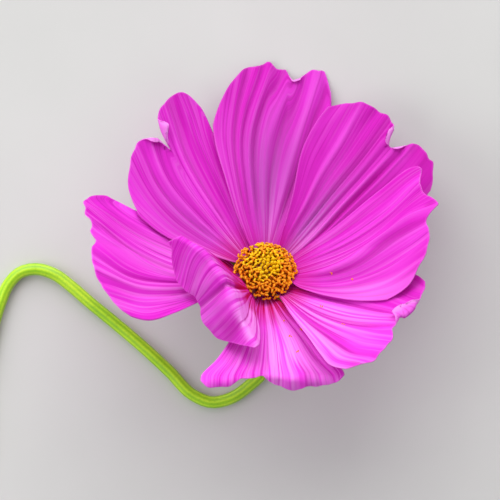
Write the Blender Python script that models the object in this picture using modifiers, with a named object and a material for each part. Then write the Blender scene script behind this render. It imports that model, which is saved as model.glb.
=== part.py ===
"""A cosmos flower, picked and laid down: its head, and the cut stem lying in a bend on the surface.

The head is built around an empty at the middle of its back, whose +Z is the axis of the flower. The
stem holds the head face up, leaning back a little, so that the lowest petal touches the surface.
Lengths below are millimetres and angles are degrees; MM turns a length into Blender's metres.
"""

import math

import bpy
import numpy as np
from mathutils import Vector

MM = 0.001

# How the head is held.
HEAD_PLACE = (13.09, -3.45, 9.784)
HEAD_NOD = -28.0
HEAD_LEAN = 4.0

# Petals. Their azimuths run clockwise from the top of the head, as seen from above it.
PETAL_THICKNESS = 0.4
PETAL_COLUMNS = 24
PETAL_SEAT = 4.5
CUPPING = ((0, 0.25), (0.25, 1.35), (1, 0.7))
EVEN_ROWS = (0, 0.08, 0.18, 0.3, 0.43, 0.56, 0.69, 0.81, 0.91, 1)
TIP_FOLD_ROWS = (0, 0.1, 0.22, 0.35, 0.5, 0.65, 0.78, 0.88, 0.925, 0.95, 0.975, 1)
HALF_FOLD_ROWS = (0, 0.1, 0.22, 0.34, 0.46, 0.57, 0.65, 0.69, 0.715, 0.74, 0.77, 0.81, 0.87, 0.935, 1)

# Each petal rises from its seat at an angle, and is rolled about its own length. Its outline is its
# length, the reach of its "left" and "right" edges from the middle at shares of that length, and its
# "tip": how far it reaches, as a share of the length, from the left edge (-1) to the right one (1).
# "creases" bend the blade past a line across it: the share of the length where the line crosses the
# middle, its slant, the angle of the bend, and the share of the length that the bend takes.
# "grooves" are the long folds: place across, depth, and half width.
PETALS = {
    "petal_1": dict(
        azimuth=3, rise=19.5, roll=5, lift=0.9, length=40,
        left=((0, 1.5), (0.05, 3.4), (0.12, 4.9), (0.36, 8.7), (0.62, 11.7), (0.73, 11.8), (1, 10.6)),
        right=((0, 1.5), (0.05, 2.6), (0.12, 4), (0.4, 9.3), (0.6, 11.8), (0.75, 12.5), (1, 11.6)),
        tip=(
            (-1, 0.66), (-0.92, 0.735), (-0.74, 0.865), (-0.54, 0.95), (-0.27, 0.977), (-0.06, 1.005),
            (0.05, 0.98), (0.24, 0.975), (0.31, 0.95), (0.35, 0.9), (0.46, 0.914), (0.58, 0.936),
            (0.71, 0.97), (0.89, 0.975), (0.96, 0.95), (1, 0.88),
        ),
        creases=((0.3, 0, -6, 0.6),),
        grooves=((-0.3, 0.6, 0.1), (0.36, 0.7, 0.1)),
    ),
    "petal_2": dict(
        azimuth=45, rise=23, roll=4.5, lift=1.3, length=38,
        left=((0, 1.4), (0.05, 2), (0.12, 3.2), (0.28, 6), (0.55, 11.4), (0.69, 12.6), (1, 12)),
        right=((0, 1.4), (0.05, 2.6), (0.12, 4.2), (0.4, 10.6), (0.55, 13), (0.7, 14.2), (1, 13.4)),
        tip=(
            (-1, 0.76), (-0.93, 0.83), (-0.8, 0.875), (-0.66, 0.915), (-0.5, 0.933), (-0.36, 0.933),
            (-0.2, 0.955), (-0.05, 0.935), (0.05, 0.9), (0.12, 0.85), (0.18, 0.805), (0.25, 0.85),
            (0.35, 0.91), (0.51, 0.938), (0.72, 0.915), (0.81, 0.91), (0.92, 0.87), (1, 0.78),
        ),
        creases=((0.3, 0, 4, 0.6),),
        grooves=((0.18, 0.7, 0.1),),
    ),
    "petal_3": dict(
        azimuth=89, rise=29, roll=-4.5, lift=2.0, length=36,
        left=((0, 1.4), (0.05, 2.7), (0.15, 4.2), (0.31, 6.4), (0.6, 11.2), (0.84, 14.2), (1, 13.6)),
        right=((0, 1.5), (0.05, 3.8), (0.15, 6.6), (0.3, 9.7), (0.48, 12.5), (0.61, 13.8), (1, 12.5)),
        tip=(
            (-1, 0.83), (-0.91, 0.885), (-0.75, 0.885), (-0.56, 0.872), (-0.38, 0.926), (-0.24, 0.968),
            (-0.16, 0.892), (0.03, 0.902), (0.25, 0.895), (0.44, 0.876), (0.62, 0.841), (0.81, 0.785),
            (0.94, 0.71), (1, 0.62),
        ),
        creases=((0.2, 0, 18, 0.7),),
        grooves=((-0.16, 0.7, 0.1),),
    ),
    "petal_4": dict(
        azimuth=135, rise=35, roll=-8, lift=0.6, length=38,
        left=((0, 1.4), (0.05, 2.4), (0.12, 4), (0.4, 10.8), (0.55, 13.6), (0.7, 15), (1, 14)),
        right=((0, 1.4), (0.05, 2.2), (0.25, 5.8), (0.58, 10.9), (0.72, 13.2), (0.86, 15.1), (1, 14.6)),
        tip=(
            (-1, 0.77), (-0.89, 0.825), (-0.7, 0.86), (-0.48, 0.88), (-0.27, 0.885), (-0.12, 0.85),
            (0.03, 0.898), (0.1, 0.94), (0.26, 0.99), (0.57, 1.038), (0.73, 1.062), (0.83, 1.02),
            (0.93, 1.0), (1, 0.96),
        ),
        creases=((0.3, 0, 8, 0.5),),
        grooves=((-0.12, 0.6, 0.1),),
    ),
    "petal_5": dict(
        azimuth=181, rise=29, roll=3, lift=0, length=31.5, rows=TIP_FOLD_ROWS,
        left=((0, 1.4), (0.05, 2.4), (0.25, 5.2), (0.5, 9), (0.79, 12.2), (0.9, 13.5), (1, 14)),
        right=((0, 1.4), (0.05, 2.2), (0.25, 4.2), (0.56, 7.8), (0.75, 10.6), (0.9, 13.4), (1, 13.8)),
        tip=(
            (-1, 0.9), (-0.82, 0.92), (-0.6, 0.97), (-0.49, 0.955), (-0.32, 0.995), (-0.21, 0.978),
            (-0.09, 0.952), (0.06, 0.9), (0.12, 0.845), (0.2, 0.875), (0.26, 0.885), (0.45, 0.902),
            (0.64, 0.947), (0.85, 0.916), (1, 0.89),
        ),
        creases=((0.3, 0, 4, 0.5), (0.88, 0, -100, 0.05)),
        grooves=((0.12, 0.6, 0.1),),
    ),
    "petal_6": dict(
        azimuth=219, rise=60.4, roll=-24.3, lift=1.4, length=34.5, seat=4.8, rows=HALF_FOLD_ROWS,
        left=((0, 1.5), (0.05, 2.5), (0.12, 3.9), (0.4, 10.6), (0.55, 13), (0.7, 14), (1, 12.6)),
        right=((0, 1.4), (0.05, 2.3), (0.12, 3.5), (0.4, 9.6), (0.55, 11.7), (0.7, 12.6), (1, 11.3)),
        tip=(
            (-1, 0.624), (-0.93, 0.65), (-0.8, 0.731), (-0.6, 0.846), (-0.4, 0.875), (-0.2, 0.91),
            (-0.05, 0.895), (0.1, 0.886), (0.3, 0.916), (0.6, 0.92), (0.8, 0.815), (0.92, 0.74), (1, 0.713),
        ),
        creases=((0.607, 1.9, -124, 0.05),),
        cupping=((0, 0), (1, 0)),
        grooves=((-0.05, 0.8, 0.12), (-0.6, 0.4, 0.1)),
        bow=((-1, -0.3), (-0.5, 0), (0, 0.9), (0.3, 0.7), (0.55, 0.4), (0.8, -0.9), (1, -2.3)),
    ),
    "petal_7": dict(
        azimuth=-97, rise=29.5, roll=13, lift=-0.1, length=36.5,
        left=((0, 1.4), (0.05, 2.4), (0.15, 4.4), (0.4, 9.8), (0.6, 14.2), (0.82, 18.2), (1, 18.8)),
        right=((0, 1.4), (0.05, 2.7), (0.15, 5.2), (0.45, 9.8), (0.6, 11.4), (0.85, 13.4), (1, 13.2)),
        tip=(
            (-1, 0.93), (-0.96, 0.99), (-0.85, 1.035), (-0.71, 1.068), (-0.47, 1.088), (-0.25, 1.074),
            (-0.11, 1.048), (-0.02, 1.01), (0.04, 0.976), (0.13, 1.0), (0.37, 1.009), (0.61, 1.01),
            (0.72, 1.02), (0.85, 0.985), (0.94, 0.937), (1, 0.86),
        ),
        creases=((0.2, 0, 14, 0.7),),
        grooves=((0.04, 0.8, 0.1), (0.5, 0.5, 0.1)),
    ),
    "petal_8": dict(
        azimuth=-43, rise=19, roll=9, lift=0.7, length=36.6,
        left=((0, 1.4), (0.05, 2.6), (0.15, 5.6), (0.3, 10), (0.4, 12.2), (0.55, 14), (1, 13)),
        right=((0, 1.4), (0.05, 2.4), (0.15, 4.2), (0.3, 6.8), (0.68, 11.3), (0.79, 12.3), (1, 12.2)),
        tip=(
            (-1, 0.58), (-0.9, 0.7), (-0.8, 0.763), (-0.66, 0.82), (-0.53, 0.86), (-0.27, 0.886),
            (-0.13, 0.872), (-0.03, 0.84), (0.05, 0.79), (0.1, 0.742), (0.15, 0.85), (0.26, 0.925),
            (0.47, 0.968), (0.68, 0.98), (0.79, 0.968), (0.93, 0.922), (1, 0.82),
        ),
        creases=((0.2, 0, 16, 0.7),),
        grooves=((0.1, 0.8, 0.1), (0.5, 0.5, 0.1)),
    ),
}
BOW_ALONG = ((0, 0), (0.3, 0.35), (0.6, 1), (1, 1))
GROOVE_START = 0.15
GROOVE_END_SHARE = 0.55

# Receptacle: the green drum under the disc, that tapers down to the stem. Radius and height.
RECEPTACLE_PROFILE = (
    (0, 2.1), (4.1, 2.1), (4.1, -1.9), (3.4, -2.7), (2.3, -3.6), (1.5, -4.5), (0, -4.5),
)
RECEPTACLE_STEPS = 32

# Disc: one dome for the crowd of florets in the middle, and a ring of open ones that lie out around
# it. They lie lowest over the petals at the foot of the head, and stand up beside the folded one.
DOME_PROFILE = ((0, 5.3), (1.2, 5.1), (2.2, 4.5), (2.85, 3.6), (2.95, 3.1), (2.8, 2.4), (0, 2.4))
DOME_STEPS = 24
FLORET_PROFILE = (
    (0, 2.6), (0.25, 2.5), (0.45, 2.1), (0.4, 1.7), (0.28, 1.0), (0.25, 0), (0, 0),
)
FLORET_STEPS = 8
FLORET_COUNT = 21
FLORET_SEAT = 3.6
FLORET_LIFT = 2.65
FLORET_LEANS = (
    (0, 76), (45, 72), (90, 58), (115, 54), (145, 78), (180, 88), (205, 66), (225, 38), (245, 38), (265, 66),
    (300, 80), (360, 76),
)

# Bracts under the petals: eight broad ones against them, eight narrow ones that spread below.
BRACT_THICKNESS = 0.4
BRACT_COLUMNS = 4
BRACT_ROWS = 6
BRACT_KEEL_SLOPE = 0.24
INNER_WIDTHS = ((0, 0.5), (0.3, 0.95), (0.45, 1.0), (0.75, 0.7), (1, 0.12))
OUTER_WIDTHS = ((0, 0.7), (0.3, 1.0), (0.6, 0.75), (1, 0.16))
INNER_BRACT = dict(length=9.5, width=4.6, seat=4.4, lift=-1.5, rise=16.0)
OUTER_BRACT_WIDTH = 1.9
OUTER_BRACT_SEAT = 3.9
OUTER_BRACT_LIFT = -2.8
OUTER_BRACTS = (
    dict(azimuth=12, rise=1, length=8.5),
    dict(azimuth=58, rise=-8, length=10),
    dict(azimuth=103, rise=-30, length=11),
    dict(azimuth=146, rise=-34, length=10.5),
    dict(azimuth=205, rise=-30, length=11),
    dict(azimuth=238, rise=-22, length=9.5),
    dict(azimuth=282, rise=-12, length=11),
    dict(azimuth=327, rise=-4, length=9),
)

# Stem: from under the head, down to the surface, and along it to the cut. Its points are measured
# from the head's foot on the surface, with the height of the middle of the stem.
STEM_RADIUS = 1.25
STEM_GAP = 0.3
STEM_COUNT = 64
STEM_ROUTE = (
    (-0.5, -3.9, 3.1), (-0.6, -6.6, 1.5), (-0.5, -9.5, 1.27), (-0.4, -12.5, 1.25),
    (-0.6, -20, 1.25), (-2.9, -22.2, 1.25), (-6.6, -24.8, 1.25), (-10.9, -25.7, 1.25),
    (-14.6, -24.2, 1.25), (-19.3, -19.5, 1.25), (-24.8, -14.4, 1.25), (-30.3, -9.7, 1.25),
    (-35.8, -5.2, 1.25), (-39.5, -2, 1.25), (-43, 0.5, 1.25), (-46.6, 1.5, 1.25),
    (-49.7, 0.9, 1.25), (-52.2, -1.5, 1.25), (-53.8, -5, 1.25), (-55.6, -11, 1.25),
    (-57.4, -19, 1.25), (-58.6, -28, 1.25), (-59, -37, 1.25),
)


def smooth(points, at):
    """A cubic through the points, with slopes from their neighbours, read at each place."""
    known, values = np.array(points, float).T
    slope = np.gradient(values, known)
    at = np.clip(at, known[0], known[-1])
    i = np.clip(np.searchsorted(known, at, side="right") - 1, 0, len(known) - 2)
    step = known[i + 1] - known[i]
    f = (at - known[i]) / step
    start = (1 + 2 * f) * (1 - f) ** 2 * values[i] + f * (1 - f) ** 2 * step * slope[i]
    end = f * f * (3 - 2 * f) * values[i + 1] + f * f * (f - 1) * step * slope[i + 1]
    return start + end


def crease(points, x, y, line, length):
    """Bends every point whose flat place (x, y) is past the line, along a round of the given share."""
    middle_share, slant, angle, share = line
    turn = math.radians(slant)
    along = np.array([math.cos(turn), math.sin(turn)])
    away = np.array([-math.sin(turn), math.cos(turn)])
    middle = np.array([0, middle_share * length])
    past = (x - middle[0]) * away[0] + (y - middle[1]) * away[1]
    bend = share * length
    in_bend = np.clip(past, 0, bend)
    radius = bend / math.radians(angle)
    phi = in_bend / radius
    flat = points[:, :2] - middle
    beyond = flat @ away - in_bend
    across = radius * np.sin(phi) + np.cos(phi) * beyond - np.sin(phi) * points[:, 2]
    height = radius * (1 - np.cos(phi)) + np.sin(phi) * beyond + np.cos(phi) * points[:, 2]
    moved = middle + np.outer(flat @ along, along) + np.outer(across, away)
    return np.column_stack([moved, height])


def petal_shape(petal):
    """The function that puts a point of the petal's grid (share of its length, place across) in place."""
    length = petal["length"]

    def place(along, across):
        reach = along * smooth(petal["tip"], across)
        edge = np.where(across < 0, smooth(petal["left"], reach), smooth(petal["right"], reach))
        x = edge * across
        y = reach * length
        z = smooth(petal.get("cupping", CUPPING), reach) * across**2
        fade = np.clip(reach / GROOVE_START, 0, 1)
        fade = fade * (1 - (1 - GROOVE_END_SHARE) * np.clip(4 * along - 3, 0, 1))
        for centre, depth, spread in petal["grooves"]:
            z = z - depth * fade * np.exp(-(((across - centre) / spread) ** 2))
        points = np.column_stack([x, y, z])
        for line in reversed(petal["creases"]):
            points = crease(points, x, y, line, length)
        if "bow" in petal:
            points[:, 2] += smooth(BOW_ALONG, reach) * smooth(petal["bow"], across)
        return points

    return place


def bract_shape(length, width, widths):
    """The function that puts a point of a bract's grid in place: a pointed leaf, folded at its keel."""

    def place(along, across):
        x = width / 2 * smooth(widths, along) * across
        return np.column_stack([x, along * length, BRACT_KEEL_SLOPE * np.abs(x)])

    return place


def material(name, colour, roughness):
    """A Principled material. The colour is linear RGB."""
    made = bpy.data.materials.new(name)
    made.use_nodes = True
    shader = made.node_tree.nodes["Principled BSDF"]
    shader.inputs["Base Color"].default_value = (*colour, 1)
    shader.inputs["Roughness"].default_value = roughness
    shader.inputs["Metallic"].default_value = 0
    return made


def finish(obj, name, surface, parent):
    """Names the object and its mesh, gives it its material and parent, and moves it to the flower."""
    obj.name = name
    obj.data.name = name
    obj.data.materials.append(surface)
    obj.parent = parent
    for collection in list(obj.users_collection):
        collection.objects.unlink(obj)
    flower.objects.link(obj)


def sheet(name, shape, columns, rows, thickness, surface):
    """A thin closed piece from a grid: the shape function places its points, Solidify thickens it."""
    bpy.ops.mesh.primitive_grid_add(x_subdivisions=columns, y_subdivisions=len(rows) - 1, size=2)
    obj = bpy.context.object
    mesh = obj.data
    grid = np.empty(len(mesh.vertices) * 3, np.float32)
    mesh.vertices.foreach_get("co", grid)
    grid = grid.reshape(-1, 3).astype(float)
    along = np.interp(grid[:, 1], np.linspace(-1, 1, len(rows)), rows)
    points = shape(along, grid[:, 0]) * MM
    mesh.vertices.foreach_set("co", points.astype(np.float32).ravel())
    mesh.shade_smooth()
    wall = obj.modifiers.new("wall", "SOLIDIFY")
    wall.thickness = thickness * MM
    wall.offset = 0
    finish(obj, name, surface, head)
    return obj


def turned(name, profile, steps, surface):
    """A closed turned piece: the profile runs from the top of the axis, down outside, to the bottom."""
    mesh = bpy.data.meshes.new(name)
    edges = [(i, i + 1) for i in range(len(profile) - 1)]
    mesh.from_pydata([(r * MM, 0, z * MM) for r, z in profile], edges, [])
    obj = bpy.data.objects.new(name, mesh)
    bpy.context.scene.collection.objects.link(obj)
    spin = obj.modifiers.new("turn", "SCREW")
    spin.steps = steps
    spin.render_steps = steps
    spin.use_merge_vertices = True
    spin.merge_threshold = 0.00001
    spin.use_smooth_shade = True
    finish(obj, name, surface, head)
    return obj


def set_on_head(obj, azimuth, rise, roll, seat, lift):
    """Turns a piece that points along +Y (or stands along +Z) to its place around the head's axis."""
    turn = math.radians(azimuth)
    obj.rotation_mode = "YXZ"
    obj.rotation_euler = (math.radians(rise), math.radians(roll), -turn)
    obj.location = (seat * math.sin(turn) * MM, seat * math.cos(turn) * MM, lift * MM)


def make_petals():
    for name, petal in PETALS.items():
        rows = petal.get("rows", EVEN_ROWS)
        obj = sheet(name, petal_shape(petal), PETAL_COLUMNS, rows, PETAL_THICKNESS, petal_pink)
        seat = petal.get("seat", PETAL_SEAT)
        set_on_head(obj, petal["azimuth"], petal["rise"], petal["roll"], seat, petal["lift"])


def make_disc():
    turned("receptacle", RECEPTACLE_PROFILE, RECEPTACLE_STEPS, bract_green)
    turned("floret_dome", DOME_PROFILE, DOME_STEPS, floret_yellow)
    for k in range(FLORET_COUNT):
        azimuth = 360 * (k + 0.5) / FLORET_COUNT
        lean = float(smooth(FLORET_LEANS, azimuth))
        obj = turned(f"disc_floret_{k + 1:02d}", FLORET_PROFILE, FLORET_STEPS, floret_yellow)
        set_on_head(obj, azimuth, -lean, 0, FLORET_SEAT, FLORET_LIFT)


def make_bracts():
    rows = np.linspace(0, 1, BRACT_ROWS + 1)
    for k in range(8):
        shape = bract_shape(INNER_BRACT["length"], INNER_BRACT["width"], INNER_WIDTHS)
        obj = sheet(f"inner_bract_{k + 1}", shape, BRACT_COLUMNS, rows, BRACT_THICKNESS, bract_green)
        azimuth = 45 * k + 22.5
        set_on_head(obj, azimuth, INNER_BRACT["rise"], 0, INNER_BRACT["seat"], INNER_BRACT["lift"])
    for k, bract in enumerate(OUTER_BRACTS):
        shape = bract_shape(bract["length"], OUTER_BRACT_WIDTH, OUTER_WIDTHS)
        obj = sheet(f"outer_bract_{k + 1}", shape, BRACT_COLUMNS, rows, BRACT_THICKNESS, bract_green)
        set_on_head(obj, bract["azimuth"], bract["rise"], 0, OUTER_BRACT_SEAT, OUTER_BRACT_LIFT)


def make_stem():
    """The stem leaves the receptacle along the head's axis, then follows its route on the surface."""
    bpy.context.view_layer.update()
    back = RECEPTACLE_PROFILE[-1][1] - STEM_GAP
    start = np.array(head.matrix_world @ Vector((0, 0, back * MM))) / MM
    foot = np.array((HEAD_PLACE[0], HEAD_PLACE[1], 0))
    route = np.vstack([start, np.array(STEM_ROUTE) + foot])
    steps = np.linalg.norm(np.diff(route, axis=0), axis=1)
    walked = np.concatenate([[0], np.cumsum(steps)])
    at = np.linspace(0, walked[-1], STEM_COUNT)
    points = np.column_stack([smooth(np.column_stack([walked, route[:, k]]), at) for k in range(3)])
    curve = bpy.data.curves.new("stem", "CURVE")
    curve.dimensions = "3D"
    curve.bevel_depth = STEM_RADIUS * MM
    curve.bevel_resolution = 2
    curve.use_fill_caps = True
    spline = curve.splines.new("POLY")
    spline.points.add(len(points) - 1)
    for point, place in zip(spline.points, points):
        point.co = (*(place * MM), 1)
    obj = bpy.data.objects.new("stem", curve)
    bpy.context.scene.collection.objects.link(obj)
    finish(obj, "stem", stem_green, None)


for old in list(bpy.data.objects):
    bpy.data.objects.remove(old)
flower = bpy.data.collections.new("cosmos_flower")
bpy.context.scene.collection.children.link(flower)
head = bpy.data.objects.new("flower_head", None)
head.location = Vector(HEAD_PLACE) * MM
head.rotation_euler = (math.radians(HEAD_NOD), math.radians(HEAD_LEAN), 0)
flower.objects.link(head)
petal_pink = material("petal", (0.83, 0.04, 0.72), 0.5)
floret_yellow = material("floret", (0.83, 0.42, 0.01), 0.6)
bract_green = material("bract", (0.16, 0.35, 0.03), 0.55)
stem_green = material("stem", (0.3, 0.55, 0.02), 0.5)
make_petals()
make_disc()
make_bracts()
make_stem()
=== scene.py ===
# %% [markdown]
# # A picked cosmos, petal by petal
# The flower lies on a pale surface: eight broad ray petals around a yellow disc, a calyx of green
# bracts under them, and the cut stem swept round in a bend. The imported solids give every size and
# place. This lesson builds the finished look around them, one kind of piece at a time.

# %% Load the fixed frame
import math

import bpy
import numpy as np
from mathutils import Euler, Matrix, Vector


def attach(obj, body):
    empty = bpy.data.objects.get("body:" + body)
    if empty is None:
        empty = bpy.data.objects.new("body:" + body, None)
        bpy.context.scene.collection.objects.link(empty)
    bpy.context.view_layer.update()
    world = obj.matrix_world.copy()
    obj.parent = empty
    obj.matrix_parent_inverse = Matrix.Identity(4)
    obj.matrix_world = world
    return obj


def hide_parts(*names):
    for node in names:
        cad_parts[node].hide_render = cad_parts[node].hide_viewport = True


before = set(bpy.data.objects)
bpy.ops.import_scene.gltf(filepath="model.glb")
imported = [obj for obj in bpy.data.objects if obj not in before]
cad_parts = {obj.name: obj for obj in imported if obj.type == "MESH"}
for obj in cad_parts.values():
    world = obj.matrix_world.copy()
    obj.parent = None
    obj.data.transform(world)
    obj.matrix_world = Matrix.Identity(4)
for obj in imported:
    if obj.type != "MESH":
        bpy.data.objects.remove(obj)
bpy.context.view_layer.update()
MM = 0.001

# %% [markdown]
# The head is built in its own frame: +Z is the axis of the flower and +Y its top. On the surface it
# leans back a little, so one matrix takes each finished piece from the head to the surface. Working
# in millimetres keeps the numbers easy to read; the matrix also turns them into metres.

# %% The head's place
HEAD_PLACE = (13.09, -3.45, 9.784)
HEAD_NOD = math.radians(-28)
HEAD_LEAN = math.radians(4)
head_turn = Euler((HEAD_NOD, HEAD_LEAN, 0)).to_matrix().to_4x4()
head = Matrix.Scale(MM, 4) @ Matrix.Translation(HEAD_PLACE) @ head_turn


def around_head(azimuth, rise=0, roll=0, seat=0, lift=0):
    """The matrix of a piece that grows along +Y, set at its angle around the head's axis."""
    turn = math.radians(azimuth)
    place = Matrix.Translation((seat * math.sin(turn), seat * math.cos(turn), lift))
    tilt = Matrix.Rotation(math.radians(rise), 4, "X") @ Matrix.Rotation(math.radians(roll), 4, "Y")
    return head @ place @ Matrix.Rotation(-turn, 4, "Z") @ tilt


print("head tilt:", round(math.degrees(HEAD_NOD)), round(math.degrees(HEAD_LEAN)))

# %% [markdown]
# Every piece is finished the same way: its place goes into its mesh, so that the object itself sits
# at the origin, it gets its name and its material, and it rides on the flower's one body.

# %% Helpers that every piece uses


def deselect():
    bpy.ops.object.select_all(action="DESELECT")


def choose(obj):
    """Selects this one piece and makes it the active one, so that operators act on it alone."""
    deselect()
    obj.select_set(True)
    bpy.context.view_layer.objects.active = obj


def smooth_shaded(obj, sharpest):
    """Shades a piece smoothly, apart from edges sharper than this many degrees."""
    choose(obj)
    bpy.ops.object.shade_smooth_by_angle(angle=math.radians(sharpest))


def points_of(mesh):
    """All points of a mesh, one row each."""
    found = np.empty(len(mesh.vertices) * 3, np.float32)
    mesh.vertices.foreach_get("co", found)
    return found.reshape(-1, 3).astype(float)


def set_points(mesh, points):
    """Moves all points of a mesh."""
    mesh.vertices.foreach_set("co", np.asarray(points, np.float32).ravel())
    mesh.update()


def note(mesh, name, values):
    """Keeps one number for each vertex, which a material can read by this name."""
    attribute = mesh.attributes.get(name) or mesh.attributes.new(name, "FLOAT", "POINT")
    attribute.data.foreach_set("value", np.asarray(values, np.float32))


def keep(obj, name, place, surface, slot, *nodes):
    """Moves the mesh to its place, names it, dresses it, and rides it on the flower."""
    obj.data.transform(place)
    obj.matrix_world = Matrix.Identity(4)
    obj.name = name
    obj.data.name = name
    obj.data.materials.clear()
    obj.data.materials.append(surface)
    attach(obj, "root")
    if nodes:
        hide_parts(*nodes)
    return obj


print("helpers ready")

# %% [markdown]
# Colours are given as the sRGB hex values that a colour picker shows. Shaders work in linear light,
# so one function turns them. A second one adds a node of any kind, and returns the output that the
# next node reads. Three more do what a painter does: lay a colour over another where a pattern says
# so, add patterns up, and finish a surface with its fine relief and the light that shines through.

# %% Helpers for materials
MIX_SHARE, MIX_LOW, MIX_HIGH, MIX_COLOUR = 0, 6, 7, 2    # a Mix node's sockets when it mixes colours


def linear(colour):
    """A linear RGBA colour from an sRGB hex value."""
    shares = [int(colour[i:i + 2], 16) / 255 for i in (1, 3, 5)]
    return (*[s / 12.92 if s <= 0.04045 else ((s + 0.055) / 1.055) ** 2.4 for s in shares], 1)


def add(tree, kind, inputs=None, output=0, stops=(), **settings):
    """Adds a node and returns one of its outputs. An input is another node's output, a number or an
    sRGB hex value; stops are a colour ramp's (place, hex value or grey); the rest are settings."""
    node = tree.nodes.new(kind)
    for key, value in settings.items():
        setattr(node, key, value)
    for socket, value in (inputs or {}).items():
        if isinstance(value, bpy.types.NodeSocket):
            tree.links.new(value, node.inputs[socket])
        else:
            node.inputs[socket].default_value = linear(value) if isinstance(value, str) else value
    if stops:
        marks = node.color_ramp.elements
        while len(marks) < len(stops):
            marks.new(0.5)
        for mark, (place, colour) in zip(marks, stops):
            mark.position = place
            mark.color = linear(colour) if isinstance(colour, str) else (colour, colour, colour, 1)
    return node.outputs[output]


def new_material(name, **constants):
    """A material whose Principled shader has these constants on its own sockets."""
    made = bpy.data.materials.new(name)
    made.use_nodes = True
    shader = made.node_tree.nodes["Principled BSDF"]
    for socket, value in constants.items():
        shader.inputs[socket.replace("_", " ")].default_value = value
    return made, made.node_tree, shader


def lay_over(tree, base, colour, strength, pattern, *stops):
    """Lays a colour over another by strength times pattern; stops reshape the pattern first."""
    if stops:
        pattern = add(tree, "ShaderNodeValToRGB", {0: pattern}, stops=stops)
    share = add(tree, "ShaderNodeMath", {0: strength, 1: pattern}, operation="MULTIPLY")
    return add(tree, "ShaderNodeMix", {MIX_SHARE: share, MIX_LOW: base, MIX_HIGH: colour},
               output=MIX_COLOUR, data_type="RGBA")


def weighed(tree, *parts):
    """The sum of patterns, each times its weight."""
    total = 0.0
    for pattern, weight in parts:
        total = add(tree, "ShaderNodeMath", {0: pattern, 1: weight, 2: total}, operation="MULTIPLY_ADD")
    return total


def link_tissue(tree, shader, colour, height, strength, depth, glow=0.0):
    """Links a colour and a bump of this depth in millimetres; glow is the share of light let through."""
    tree.links.new(colour, shader.inputs["Base Color"])
    bump = add(tree, "ShaderNodeBump", {"Height": height, "Strength": strength, "Distance": depth * MM})
    tree.links.new(bump, shader.inputs["Normal"])
    if glow:
        through = add(tree, "ShaderNodeBsdfTranslucent", {"Color": colour})
        both = add(tree, "ShaderNodeMixShader", {0: glow, 1: shader.outputs["BSDF"], 2: through})
        tree.links.new(both, tree.nodes["Material Output"].inputs["Surface"])


print("petal pink in linear light:", [round(v, 3) for v in linear("#F236E2")])
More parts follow.
